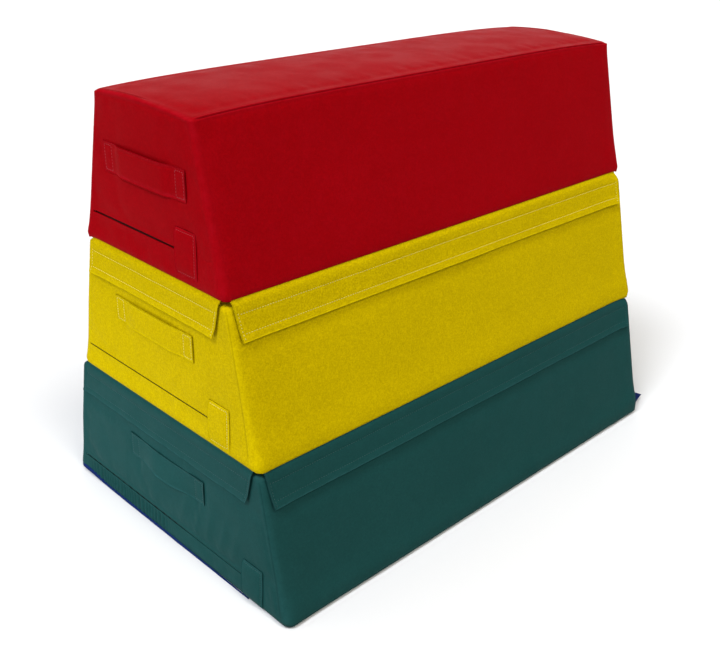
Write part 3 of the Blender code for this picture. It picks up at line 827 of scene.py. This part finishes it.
def top_seam(cover):
    """The red cover's sewn-on top panel: how its seam lifts each point, and how much painted shade darkens
    its grooves.
    """
    inset_x, inset_y = cover.inset_x, cover.inset_y
    inset = np.minimum(inset_x, inset_y)
    below = cover.floor + TIER_HEIGHT - GAP - cover.sharp[:, 2]
    way = np.where(below < 1e-6, inset, -below)
    on_end = inset_x < inset_y
    clear = smooth(0.0, 0.020, np.where(on_end, inset_y, inset_x) - 0.003)
    fade = smooth(-0.04, 0.04, cover.sharp[:, 1])
    long_groove = bell(way + 0.0012, 0.0010) * clear
    end_groove = bell(way - 0.0078, 0.0026) * clear * fade
    long_lift = 0.0006 * bell(way - 0.0020, 0.0022) * clear - 0.0020 * long_groove
    end_lift = 0.0018 * bell(way - 0.0012, 0.0030) * clear * fade - 0.0020 * end_groove
    near_edge = (below < 0.02) & (inset < 0.02)
    lift = np.where(near_edge, np.where(on_end, end_lift, long_lift), 0)
    return lift, np.where(near_edge, np.where(on_end, end_groove, long_groove), 0)


def corner_fold(cover):
    """How deep the creases are, and how much painted shade darkens them: the thin fold beside a lower near
    front corner, and the valleys between the gathers.
    """
    up = (cover.sharp[:, 2] - cover.floor) / TIER_HEIGHT
    inset = cover.sharp[:, 1] + cover.mid
    line = 0.0040 + (0.0130 if cover.tier == "middle" else 0.0090) * (1 - up)
    strength = 0.45 * smooth(0.02, 0.12, up) * smooth(1.0, 0.93, up)
    fold = strength * bell(inset - line, 0.0015)
    if cover.tier == "bottom":
        # The gather valleys sink a little and get painted shade.
        valleys = smooth(0.0, 0.9, -gathers(cover.points[:, 1], cover.points[:, 2] - cover.floor))
        fold = np.maximum(fold, 0.45 * valleys)
    return fold * (cover.sharp[:, 0] < -LENGTH / 2 + 1e-6)


FOLD_DEPTH = 0.0006
VINYL_THICKNESS = 0.0012
SLIT_TURN = ((VINYL_THICKNESS, 0.0), (0.0006, 0.006))  # the slit's edge turned in: how far in, how far back


def finish_cover(cover, materials):
    """The cover as a piece, with its slit cut, the vinyl's edge turned in there, worn edges, and painted
    shade in its grooves and folds.
    """
    points = shape_cover(cover)
    if cover.tier == "top":
        lift, crease_and_painted_shade = top_seam(cover)
        points = points + cover.normals * lift[:, None]
    else:
        crease_and_painted_shade = corner_fold(cover)
        points = points - cover.normals * (FOLD_DEPTH * crease_and_painted_shade)[:, None]
    z, start, end = cover.slit
    centre = cover.points[cover.quads].mean(1)
    cut = np.array([side == (0, -1) for side in cover.sides])
    cut &= (abs(centre[:, 2] - z) < SLIT_OPENING / 2) & (centre[:, 1] > start) & (centre[:, 1] < end)
    obj = new_piece(cover.tier + "_cover_skin", points, cover.quads[~cut], materials[cover.tier])
    up = cover.sharp[:, 2] - cover.floor
    rims = bell(np.minimum(up, TIER_HEIGHT - up), 0.006)
    edges = bell(np.minimum(cover.inset_x, cover.inset_y), 0.008)
    set_wear_and_shade(obj, np.maximum(0.6 * bell(np.hypot(cover.inset_x, cover.inset_y), 0.012), rims * edges))
    # Painted shade: how dark the grooves, folds and gather valleys are painted, for the vinyl's colour.
    set_wear_and_shade(obj, crease_and_painted_shade, "crease_and_painted_shade")

    mesh = bmesh.new()
    mesh.from_mesh(obj.data)
    rim = [e for e in mesh.edges if e.is_boundary]
    for reach, back in SLIT_TURN:
        grown = bmesh.ops.extrude_edge_only(mesh, edges=rim)["geom"]
        for vertex in (g for g in grown if isinstance(g, bmesh.types.BMVert)):
            vertex.co.x += reach
            vertex.co.z += math.copysign(back, vertex.co.z - z)
        rim = [g for g in grown if isinstance(g, bmesh.types.BMEdge) and g.is_boundary]
    mesh.to_mesh(obj.data)
    mesh.free()
    dress(obj, cover.tier + "_tier", cover.tier + "_cover")


# ---- thin sheets and stitches


def shell_mesh(grid, out, thickness, rim=0.42):
    """A grid of points on a sheet's outer face becomes a closed sheet with rounded rims."""
    down, across = np.gradient(grid, axis=0), np.gradient(grid, axis=1)
    normal = unit(np.cross(down, across))
    flipped = (normal * out).sum(-1).mean() < 0
    if flipped:
        normal = -normal
    rows, columns = grid.shape[:2]
    inner = grid - normal * thickness
    ids = np.arange(rows * columns).reshape(rows, columns)
    loop = [(0, c) for c in range(columns)] + [(r, columns - 1) for r in range(1, rows)]
    loop += [(rows - 1, c) for c in range(columns - 2, -1, -1)]
    loop += [(r, 0) for r in range(rows - 2, 0, -1)]
    way = np.zeros_like(grid)
    way[0] -= unit(down[0])
    way[-1] += unit(down[-1])
    way[:, 0] -= unit(across[:, 0])
    way[:, -1] += unit(across[:, -1])
    r, c = np.array(loop).T
    middle = (grid[r, c] + inner[r, c]) / 2 + way[r, c] * thickness * rim
    total = rows * columns
    quads = np.stack([ids[:-1, :-1], ids[1:, :-1], ids[1:, 1:], ids[:-1, 1:]], -1).reshape(-1, 4)
    if flipped:
        quads = quads[:, ::-1]
    rim_ids = 2 * total + np.arange(len(loop))
    edge = ids[r, c]
    after = np.roll(np.arange(len(loop)), -1)
    sides = np.concatenate([
        np.stack([edge, edge[after], rim_ids[after], rim_ids], -1),
        np.stack([rim_ids, rim_ids[after], edge[after] + total, edge + total], -1),
    ])
    if not flipped:
        sides = sides[:, ::-1]
    faces = np.concatenate([quads, quads[:, ::-1] + total, sides])
    return np.concatenate([grid.reshape(-1, 3), inner.reshape(-1, 3), middle]), faces


STITCH_LENGTH = 0.0046
STITCH_PITCH = 0.0060
HEM_STITCH_PITCH = 0.0055
STITCH_SIZE = {  # width and height
    "bottom": (0.0010, 0.0006),
    "middle": (0.0019, 0.0008),
    "top": (0.0011, 0.0006),
    "base": (0.0010, 0.0006),
}


def stitch_mesh(centres, along, normals, width, height):
    """Stitches as small rounded beads of thread that dive into the sheet at both ends."""
    along, normals = unit(along), unit(normals)
    side = np.cross(normals, along)
    points, faces = [], []
    for tip in (-0.5, 0.5):
        points.append(centres + along * STITCH_LENGTH * tip + normals * height * -0.9)
    for station in (-0.26, 0.26):
        middle = centres + along * STITCH_LENGTH * station
        for b, h in ((0.5, 0.0), (0.0, 1.0), (-0.5, 0.0), (0.0, -1.2)):
            points.append(middle + side * width * b + normals * height * h)
    count = len(centres)
    points = np.stack(points, 1).reshape(-1, 3)
    for k in range(4):
        m = (k + 1) % 4
        faces += [(0, 2 + m, 2 + k), (1, 6 + k, 6 + m), (2 + k, 2 + m, 6 + m, 6 + k)]
    starts = np.arange(count) * 10
    return points, [[start + i for i in face] for start in starts for face in faces]


def row_of_stitches(surface, start, end, pitch=STITCH_PITCH):
    """Evenly spaced stitches on a surface(s, v) -> points, along a straight line from start to end."""
    start, end = np.array(start, float), np.array(end, float)
    length = np.linalg.norm(end - start)
    count = max(int(length / pitch), 2)
    t = (np.arange(count) + 0.5) / count
    place = start + np.outer(t, end - start)
    step = (end - start) / length * 0.0004
    here = surface(*place.T)
    ahead = surface(*(place + step).T)
    turned = np.array([-step[1], step[0]])
    aside = surface(*(place + turned).T)
    return here, ahead - here, np.cross(ahead - here, aside - here)


def add_stitching(name, rows, out, colour, body, materials):
    centres, along, normals = (np.concatenate(part) for part in zip(*rows))
    normals = np.where((normals * out).sum(-1, keepdims=True) < 0, -normals, normals)
    points, faces = stitch_mesh(centres, along, normals, *STITCH_SIZE[colour])
    return new_piece(name, points, faces, materials[colour + "_thread"], body, None)


# ---- flaps, their hook and loop strips

FLAP_THICKNESS = 0.0016
BASE_FLAP_THICKNESS = 0.0012
UPPER_ROW = 0.026
LOWER_ROW = 0.0625
END_ROW = 0.006
END_ROW_SPAN = (0.0215, 0.074)
STITCH_END = 0.010
GROOVE = 0.0018
FLAP_STEP = 0.008
FLAP_LINES = (  # where a flap is divided below its seam, in millimetres
    -1.5, 0, 1.5, 3, 5, 7.5, 10.5, 14, 18, 22, 24.4, 26, 27.6,
    31, 37, 44, 51, 57, 60.9, 62.5, 64.1, 68, 72, 75, 77,
)
END_LINES = (0, 1.6, 3.4, 4.8, 6, 7.2, 9, 12)
BACK_END_SPREAD = {"middle": (0.004, 0.022), "top": (-0.002, 0.017)}  # a near flap's back end
FAR_TIP_TAPER = 0.0115
STRIP_THICKNESS = 0.0009
LOOP_STAND = -0.00025
HOOK_CLEARANCE = 0.00005
FUZZ = 0.00008


def wall_axes(side):
    """A wall's outward direction and the one up along it."""
    if side in ("near", "far"):
        return np.array([-1.0 if side == "near" else 1.0, 0, 0]), np.array([0, 0, 1.0])
    sign = 1 if side == "front" else -1
    out = np.array([0, -math.cos(SLOPE_ANGLE) * sign, math.sin(SLOPE_ANGLE)])
    return out, np.array([0, math.sin(SLOPE_ANGLE) * sign, math.cos(SLOPE_ANGLE)])


def wall_point(side, z):
    if side in ("near", "far"):
        return np.array([-LENGTH / 2 if side == "near" else LENGTH / 2, 0, z])
    return np.array([0, -half_width(z) if side == "front" else half_width(z), z])


def end_taper(side):
    return FLAP_DROP * SLOPE if side in ("near", "far") else FLAP_SIDE_TAPER


class Flap:
    """A flap's own directions: s along the seam, v down from it, w out from its inner side."""

    def __init__(self, tier, side):
        self.tier, self.side = tier, side
        self.base = tier == "bottom"
        self.thickness = BASE_FLAP_THICKNESS if self.base else FLAP_THICKNESS
        self.body = f"{tier}_{side}_flap"
        self.seed = TIERS.index(tier) * 4 + SIDES.index(side)
        seam = 0.0 if self.base else floor_of(tier) + SEAM_RISE
        if side in ("near", "far"):
            self.half = half_width(seam) - FLAP_CORNER_INSET
        elif self.base:
            self.half = LENGTH / 2 - BASE_HINGE_INSET - FLAP_DROP - BASE_CORNER_CLEARANCE
        else:
            self.half = LENGTH / 2 - FLAP_END_INSET
        outward, up = wall_axes(side)
        if self.base:
            level = unit(outward * (1, 1, 0))
            edge = wall_point(side, 0.0)
            self.origin = np.array([edge[0], edge[1], BASE_RISE / 2]) - level * BASE_HINGE_INSET
            self.out = np.array([0, 0, 1.0 if side == "far" else -1.0])
            self.up = -level if side == "far" else level
        else:
            self.origin = wall_point(side, seam) + outward * HINGE_STANDOFF
            self.out, self.up = outward, up
        self.along = np.cross(self.out, self.up)

    def half_at(self, v, s=0.0):
        """From the middle to the end on the side of s, at v below the seam."""
        taper = end_taper(self.side)
        if self.side == "near" and not self.base:
            start, spread = BACK_END_SPREAD[self.tier]
            back = s * self.along[1] > 0
            taper = np.where(back, -spread, taper)
            return self.half + np.where(back, start, 0.0) - taper * np.maximum(v, 0) / FLAP_DROP
        if self.side == "far" and self.base:
            taper = np.where(s * self.along[1] < 0, FAR_TIP_TAPER, taper)
        return self.half - taper * np.maximum(v, 0) / FLAP_DROP

    def noise(self, s, v, scale, seed):
        shift = self.seed * 11.7 + seed * 3.3
        s, v = np.broadcast_arrays(s, v)
        places = [Vector((a * scale + shift, b * scale, shift)) for a, b in zip(s.ravel(), v.ravel())]
        return np.array([noise.noise(place) for place in places]).reshape(s.shape)

    def height(self, s, v):
        """How far the outer face stands from the hinge line."""
        end = self.half_at(v, s) - abs(s)
        grooves = bell(v - UPPER_ROW, GROOVE) + bell(v - LOWER_ROW, GROOVE)
        end_groove = bell(end - END_ROW, GROOVE) * smooth(0.008, 0.016, v)
        grooves = grooves * smooth(0.0, 0.006, end) + end_groove
        if self.base:
            w = 0.00125 - 0.0002 * np.minimum(grooves, 1)
            if self.side == "far":
                lifted = smooth(0.0, 0.10, s - self.half + 0.10) * smooth(0.02, FLAP_DROP, v)
                w = w + 0.010 * lifted
                w = w + 0.0015 * (1 + self.noise(s, 0 * v, 5, 3)) * smooth(0.03, FLAP_DROP, v)
            return w
        w = -0.0014 + 0.0044 * smooth(-0.0015, 0.009, v)
        w = w + 0.0006 * bell(v - 0.016, 0.008) + 0.0004 * bell(v - 0.045, 0.012)
        stand = 0.0024 + 0.0022 * self.noise(s, 0 * v, 5.5, 1) + 0.0022 * bell(end, 0.03)
        w = w + stand * smooth(0.052, FLAP_DROP, v)
        wall = self.point(s, v, 0.0)
        w = w + corner_puff(BELOW[self.tier], wall[..., 0], wall[..., 1], wall[..., 2])
        ripple = 0.0009 * self.noise(s, v * 0.5, 16, 2) + 0.0004 * self.noise(s, v, 45, 4)
        w = w + ripple * smooth(0.006, 0.02, v)
        return w - 0.0006 * np.minimum(grooves, 1)

    def point(self, s, v, w):
        s, v, w = (part[..., None] for part in np.broadcast_arrays(s, v, w))
        return self.origin + self.along * s - self.up * v + self.out * w

    def surface(self, s, v):
        return self.point(s, v, self.height(s, v))

    def grid(self):
        v = np.array(FLAP_LINES)[:, None] / 1000
        if self.base:
            v = v[1:]
        ends = np.array(END_LINES) / 1000
        count = round(2 * (self.half - ends[-1]) / FLAP_STEP)
        inner = np.linspace(-self.half + ends[-1], self.half - ends[-1], count + 1)[1:-1]
        s = np.concatenate([-self.half + ends, inner, (self.half - ends)[::-1]])[None, :]
        return s / self.half * self.half_at(v, s), v + 0 * s


def make_flap(flap, materials):
    tier, side, colour = flap.tier, flap.side, BELOW[flap.tier]
    s, v = flap.grid()
    points, faces = shell_mesh(flap.surface(s, v), flap.out, flap.thickness)
    body = flap.body if flap.base else None
    name, node = f"{tier}_{side}_flap_sheet", f"{tier}_flap_{side}"
    obj = new_piece(name, points, faces, materials[colour], body, node)
    rim_count = len(points) - 2 * v.size
    down = np.concatenate([v.ravel(), v.ravel(), np.full(rim_count, FLAP_DROP)])
    ends = (flap.half_at(v, s) - abs(s)).ravel()
    ends = np.concatenate([ends, ends, np.zeros(rim_count)])
    rim = np.maximum(bell(FLAP_DROP - down, 0.004), bell(ends, 0.003))
    set_wear_and_shade(obj, rim * (down > 0.006))
    rows = []
    for row in (UPPER_ROW, LOWER_ROW):
        left, right = (float(flap.half_at(row, sign)) - STITCH_END for sign in (-1, 1))
        rows.append(row_of_stitches(flap.surface, (-left, row), (right, row)))
    for sign in (-1, 1):
        top, foot = ((sign * (float(flap.half_at(at, sign)) - END_ROW), at) for at in END_ROW_SPAN)
        rows.append(row_of_stitches(flap.surface, top, foot))
    lift = -GAP if flap.base else 0.0
    rows = [(here + flap.out * lift, ahead, normal) for here, ahead, normal in rows]
    thread = add_stitching(f"{tier}_{side}_flap_stitching", rows, flap.out, colour, flap.body, materials)
    hook = make_strip(flap, "hook", materials)
    if not flap.base:
        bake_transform(obj)
        make_strip(flap, "loop", materials)


def make_strip(flap, kind, materials):
    """A hook strip behind a flap, following it, or a loop strip on the wall under it."""
    half = flap.half - end_taper(flap.side) - STRIP_INSET / 2
    v = (STRIP_START + STRIP_WIDTH * np.linspace(0, 1, 9))[:, None]
    s = np.linspace(-half, half, round(2 * half / FLAP_STEP) + 1)[None, :]
    if kind == "loop":
        tier = BELOW[flap.tier]
        body, rests = f"{tier}_tier", f"{tier}_cover_skin"
        w = LOOP_STAND + 0 * s + 0 * v
    else:
        tier = flap.tier
        body, rests = flap.body, f"{tier}_{flap.side}_flap_sheet"
        w = flap.height(s, v) - flap.thickness - HOOK_CLEARANCE
    fuzz = [[noise.noise(Vector((a * 300, b * 300, flap.seed))) for a in s[0]] for b in v[:, 0]]
    points, faces = shell_mesh(flap.point(s, v, w + FUZZ * np.array(fuzz)), flap.out, STRIP_THICKNESS, 0.3)
    slot, node = f"{kind}_strip", f"{tier}_{kind}_{flap.side}"
    obj = new_piece(f"{tier}_{flap.side}_{kind}_tape", points, faces, materials[slot], body, node)
    return obj


# ---- what is sewn to a cover all round

HEM_LINES = (0, 1.5, 3.0, 3.8, 4.5, 5.2, 6.0, 8.0)  # in millimetres
PATCH_LINES = (0, 1.4, 2.8, 4.0, 5.0, 6.0, 7.5, 10)


def make_sewn(tier, name, node, thread_name, surface, grid, out, thickness, wear, lines, flat, materials):
    """A piece of vinyl sewn flat to a cover, with its stitches along lines."""
    s, v = grid
    points, faces = shell_mesh(surface(s[None, :], v[:, None]), out, thickness, 0.5)
    body = f"{tier}_tier"
    obj = new_piece(name, points, faces, materials[tier], body, node)
    set_wear_and_shade(obj, wear(points[:, 1], points[:, 2]))
    rows = [row_of_stitches(surface, a, b, HEM_STITCH_PITCH) for a, b in lines]
    thread = add_stitching(thread_name, rows, out, tier, body, materials)


# ---- handles

STRAP = 0.0024
STRAP_SLACK = 0.002
HANDLE_FORM = {  # how far the top and the bottom edge stand off, the sag, and the length of the rise
    "bottom": (0.0022, 0.0120, 0.0012, 0.085),
    "middle": (0.0046, 0.0050, 0.0, 0.040),
    "top": (0.0072, 0.0056, 0.0006, 0.034),
}
HANDLE_HEM = 0.0045
TAB_ROW = 0.004
STRAP_GROOVE = 0.0013


class Handle:
    def __init__(self, tier, end):
        self.tier, self.end = tier, end
        self.sign = -1 if end == "near" else 1
        self.seed = TIERS.index(tier) * 2 + (end == "far")

    def surface(self, s, v):
        """Outer face of the strap: s along it, v up across it."""
        s, v = np.broadcast_arrays(np.asarray(s, float), np.asarray(v, float))
        top, foot, sag, rise = HANDLE_FORM[self.tier]
        reach = HANDLE_LENGTH / 2 - HANDLE_TAB - abs(s)
        free = smooth(0, rise, reach)
        across = v / (HANDLE_WIDTH / 2)
        stand = (top + foot) / 2 + (top - foot) / 2 * across
        depth = GAP + STRAP + stand * free + 0.0004 * (1 - across**4)
        places = [Vector((a * 14, b * 9, self.seed * 5.1)) for a, b in zip(s.ravel(), v.ravel())]
        uneven = np.array([noise.noise(place) for place in places]).reshape(s.shape)
        depth = depth + 0.0006 * uneven * smooth(0, 0.02, reach)
        edge, end = HANDLE_WIDTH / 2 - abs(v), HANDLE_LENGTH / 2 - abs(s)
        rows = (edge - HANDLE_HEM, end - HANDLE_HEM, reach + TAB_ROW)
        groove = sum(bell(row, STRAP_GROOVE) for row in rows)
        depth = depth - 0.00045 * np.minimum(groove, 1)
        down = v - sag * free
        if self.tier == "top":
            down = down * 1.07 - 0.0022
        z = floor_of(self.tier) + HANDLE_HEIGHT[self.tier] + down
        return np.stack([self.sign * (LENGTH / 2 + depth), HANDLE_SHIFT[self.tier] + s, z], -1)


def make_handle(tier, end, materials):
    handle = Handle(tier, end)
    half, half_w = HANDLE_LENGTH / 2, HANDLE_WIDTH / 2
    hem = np.array(HEM_LINES) / 1000
    tab = half - HANDLE_TAB
    ends = [half - e for e in hem] + [half - 0.013, half - 0.019]
    ends += [tab + 0.0055, tab + TAB_ROW, tab + 0.0025, tab]
    inner = list(np.linspace(-tab, tab, 38)[1:-1])
    s = np.array(sorted([-e for e in ends] + inner + ends))
    rows = [half_w - e for e in hem]
    v = np.array(sorted([-r for r in rows] + list(np.linspace(-0.015, 0.015, 6)) + rows))
    middle = floor_of(tier) + HANDLE_HEIGHT[tier]

    def wear(y, z):
        tips = bell(half - abs(y - HANDLE_SHIFT[tier]), 0.0025)
        return np.maximum(bell(half_w - abs(z - middle), 0.0035), tips)

    top = half_w - HANDLE_HEM
    lines = []
    for sign in (-1, 1):
        outer, inner_end = sign * (half - HANDLE_HEM), sign * (tab + TAB_ROW)
        lines += [((outer, -top), (outer, top)), ((inner_end, -top), (inner_end, top))]
        lines += [((inner_end, -top), (outer, -top)), ((inner_end, top), (outer, top))]
    name = f"{tier}_{end}_handle"
    names = name + "_strap", f"{tier}_handle_{end}", name + "_stitching"
    flat = (HANDLE_LENGTH + STRAP_SLACK, HANDLE_WIDTH)
    out = np.array([handle.sign, 0, 0])
    make_sewn(tier, *names, handle.surface, (s, v), out, STRAP, wear, lines, flat, materials)


# ---- patches over the zips' closed ends

PATCH_CLEARANCE = 0.0058
PATCH_SEAM_POWER = 4
PATCH_CLOSED_POWER = 5
PATCH_HEM = 0.005
PATCH_THICKNESS = 0.0014


def patch_surface(tier):
    z, _, _, patch_y = zip_span(tier)

    def surface(s, v):
        s, v = np.broadcast_arrays(np.asarray(s, float), np.asarray(v, float))
        across, up = s / PATCH_WIDTH, v / PATCH_HEIGHT
        closed = 1 - np.clip(0.5 - across, 0, 1) ** PATCH_CLOSED_POWER
        swell_share = (1 - abs(2 * up) ** PATCH_SEAM_POWER) * closed
        depth = GAP + PATCH_THICKNESS + PATCH_CLEARANCE * swell_share
        hem = np.minimum(PATCH_HEIGHT / 2 - abs(v), s + PATCH_WIDTH / 2)
        depth = depth - 0.0004 * bell(hem - PATCH_HEM, 0.0012) + belly(tier, patch_y + s, z + v)
        return np.stack([-LENGTH / 2 - depth, patch_y + s, z + v], -1)

    return surface


def make_patch(tier, materials):
    hem = np.array(PATCH_LINES) / 1000
    half_w, half_h = PATCH_WIDTH / 2, PATCH_HEIGHT / 2
    s = np.array([-half_w + e for e in hem] + list(np.linspace(-half_w + 0.014, half_w, 14)))
    inner = list(np.linspace(-half_h + 0.015, half_h - 0.015, 14))
    v = np.array([-half_h + e for e in hem] + inner + [half_h - e for e in hem[::-1]])
    middle, _, _, patch_y = zip_span(tier)

    def wear(y, z):
        return bell(np.minimum(half_h - abs(z - middle), half_w - abs(y - patch_y)), 0.003)

    left, right, top = -half_w + PATCH_HEM, half_w - 0.003, half_h - PATCH_HEM
    lines = [((left, -top), (left, top)), ((left, top), (right, top)), ((left, -top), (right, -top))]
    names = f"{tier}_garage_patch", f"{tier}_zip_garage", f"{tier}_patch_stitching"
    flat = (PATCH_WIDTH + 0.001, PATCH_HEIGHT + 0.003)
    out = np.array([-1.0, 0, 0])
    surface = patch_surface(tier)
    make_sewn(tier, *names, surface, (s, v), out, PATCH_THICKNESS, wear, lines, flat, materials)


# ---- zips

PLATE_DEPTH = 0.0015
BEAD_DEPTH = 0.0030
BEAD_RADIUS = 0.0011
BEAD_GAP = 0.0018
TAPE = 0.0006
TAPE_BAND = 0.0035
TAPE_MARGIN = 0.0085
TAPE_OVERRUN = 0.006
TOOTH_PITCH = 0.0021
TOOTH_LENGTH = 0.0024
TOOTH_WIDTH = 0.0013
BEAD_LIFT = 0.0006
TOOTH_TIP = 0.55
EDGE_BEVEL = 0.0003


def make_zip(tier, materials):
    z, start, end, _ = zip_span(tier)
    low, high = start - TAPE_OVERRUN, end + TAPE_OVERRUN
    inner = BEAD_GAP / 2 + BEAD_LIFT
    band = BEAD_GAP / 2 + 2 * BEAD_RADIUS + TAPE_BAND
    outer = band + TAPE_MARGIN
    on_bead, on_plate = BEAD_DEPTH + BEAD_RADIUS, PLATE_DEPTH + 0.0001
    height = [inner, inner + 0.001, inner + 0.002, band - 0.002, band - 0.0006, band + 0.0006]
    height = np.array(height + [band + 0.0025, outer - 0.003, outer])
    depth = np.array([on_bead] * 4 + [0.0036, 0.0022] + [on_plate] * 3)
    y = np.linspace(low, high, round((high - low) / 0.004) + 1)
    weave = np.array([[0.00006 * math.sin(a * 2400) * math.cos(b * 2400) for a in y] for b in height])
    x = -LENGTH / 2 + depth[:, None] + weave
    body = f"{tier}_tier"
    for side, sign in (("upper", 1), ("lower", -1)):
        grid = np.stack(np.broadcast_arrays(x, y[None, :], z + sign * height[:, None]), -1)
        points, faces = shell_mesh(grid, np.array([-1.0, 0, 0]), TAPE, 0.3)
        name, node = f"{tier}_{side}_zip_tape_cloth", f"{tier}_zip_{side}_tape"
        tape = new_piece(name, points, faces, materials["zip_tape"], body, node)
        coil = make_teeth(f"{tier}_{side}_zip_coil", z, start, end, sign, materials["coil"])
        dress(coil, body, None)
    for node in (f"{tier}_zip_slider", f"{tier}_zip_pull"):
        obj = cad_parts[node]
        for slot in obj.material_slots:
            slot.material = materials["metal"]
        round_edges(obj)


def make_teeth(name, z, start, end, sign, material):
    """One side of the zip's teeth. Those of the other side stand between them."""
    mesh = bmesh.new()
    shift = 0.25 if sign > 0 else 0.75
    for k in range(int((end - start) / TOOTH_PITCH)):
        place_y = start + (k + shift) * TOOTH_PITCH
        for vertex in bmesh.ops.create_cube(mesh, size=1.0)["verts"]:
            tip = vertex.co.z < 0
            reach = vertex.co.x * 2 * BEAD_RADIUS * (0.8 if tip else 1.0)
            vertex.co.x = -LENGTH / 2 + BEAD_DEPTH + reach
            vertex.co.y = place_y + vertex.co.y * TOOTH_WIDTH * (1.0 if tip else 0.8)
            vertex.co.z = z + sign * (-BEAD_GAP / 2 * TOOTH_TIP if tip else TOOTH_LENGTH)
    bmesh.ops.recalc_face_normals(mesh, faces=mesh.faces)
    data = bpy.data.meshes.new(name)
    mesh.to_mesh(data)
    mesh.free()
    data.materials.append(material)
    coil = add_object(name, data)
    round_edges(coil)
    return coil


def round_edges(obj):
    bevel = obj.modifiers.new("rounded_edges", "BEVEL")
    bevel.width = EDGE_BEVEL
    bevel.segments = 2
    bevel.limit_method = "ANGLE"
    bevel.angle_limit = math.radians(40)
    bevel.use_clamp_overlap = True


# ---- foam and the blue roll at the foot

FOAM_INSET = 0.0030
FOAM_HOLLOW = 0.008
ROLL_SIDES = 12
ROLL_SQUASH = 1.4
ROLL_TIP = -0.26


def make_foam(tier, materials):
    """The foam block, a little smaller than its cover, pressed in behind the zip."""
    cover = Cover(tier, FOAM_STEP)
    points = cover.points - cover.normals * FOAM_INSET
    z, start, end = cover.slit
    behind = smooth(0.030, 0.016, abs(points[:, 2] - z))
    behind = behind * smooth(-0.02, 0.0, points[:, 1] - start) * smooth(-0.02, 0.0, end - points[:, 1])
    points[:, 0] += np.where(cover.normals[:, 0] < -0.6, FOAM_HOLLOW * behind, 0)
    points += cover.normals * 0.0006 * soft_noise(points, 18.0, 5)[:, None]
    x, y, level = cover.points.T
    points[:, 2] -= corner_droop(tier, x, y, level - cover.floor) * 1.3
    foam, body = materials["foam"], f"{tier}_tier"
    obj = new_piece(f"{tier}_foam_block", points, cover.quads, foam, body, f"{tier}_foam_core")


def tube_mesh(path, radii):
    """A round tapering roll along a path that runs mostly along Y."""
    angle = np.arange(ROLL_SIDES) * 2 * math.pi / ROLL_SIDES
    ring = np.stack([np.cos(angle), 0 * angle, np.sin(angle) * ROLL_SQUASH], -1)
    points = (path[:, None, :] + ring[None] * radii[:, None, None]).reshape(-1, 3)
    faces = []
    for k in range(len(path) - 1):
        for m in range(ROLL_SIDES):
            a, b = k * ROLL_SIDES + m, k * ROLL_SIDES + (m + 1) % ROLL_SIDES
            faces.append((a, b, b + ROLL_SIDES, a + ROLL_SIDES))
    faces.append(tuple(range(ROLL_SIDES))[::-1])
    faces.append(tuple((len(path) - 1) * ROLL_SIDES + m for m in range(ROLL_SIDES)))
    return points, faces


def make_fold(materials):
    """The root of the near base flap: a blue roll along the foot, thickest at the back corner."""
    back = half_width(0) - 0.007
    y = np.linspace(back, ROLL_TIP, 80)
    thick = 0.0012 + 0.0016 * smooth(ROLL_TIP, 0.05, y) + 0.0018 * smooth(0.24, 0.36, y)
    radii = thick * (0.3 + 0.7 * smooth(0, 0.005, back - y))
    wander = np.array([0.0005 * noise.noise(Vector((0, a * 20, 3.0))) for a in y])
    level = 1.4 * thick + 0.0001 + FOOT_LIFT * smooth(*FOOT_LIFT_ZONE, y)
    points, faces = tube_mesh(np.stack([-LENGTH / 2 - 0.0006 + wander, y, level], -1), radii)
    new_piece("bottom_near_flap_fold", points, faces, materials["base"], "bottom_tier", None)


def main():
    make_camera()
    make_stage()
    materials = make_materials()
    trials = [Cover(tier, TRIAL_STEP) for tier in TIERS]
    covers = [Cover(tier, COVER_STEP) for tier in TIERS]
    swell(trials)
    for cover, trial in zip(covers, trials):
        cover.take_swell(trial)
        finish_cover(cover, materials)
    for tier in TIERS:
        make_foam(tier, materials)
        make_zip(tier, materials)
        make_patch(tier, materials)
        for end in ("near", "far"):
            make_handle(tier, end, materials)
        for side in SIDES:
            make_flap(Flap(tier, side), materials)
    make_fold(materials)


main()
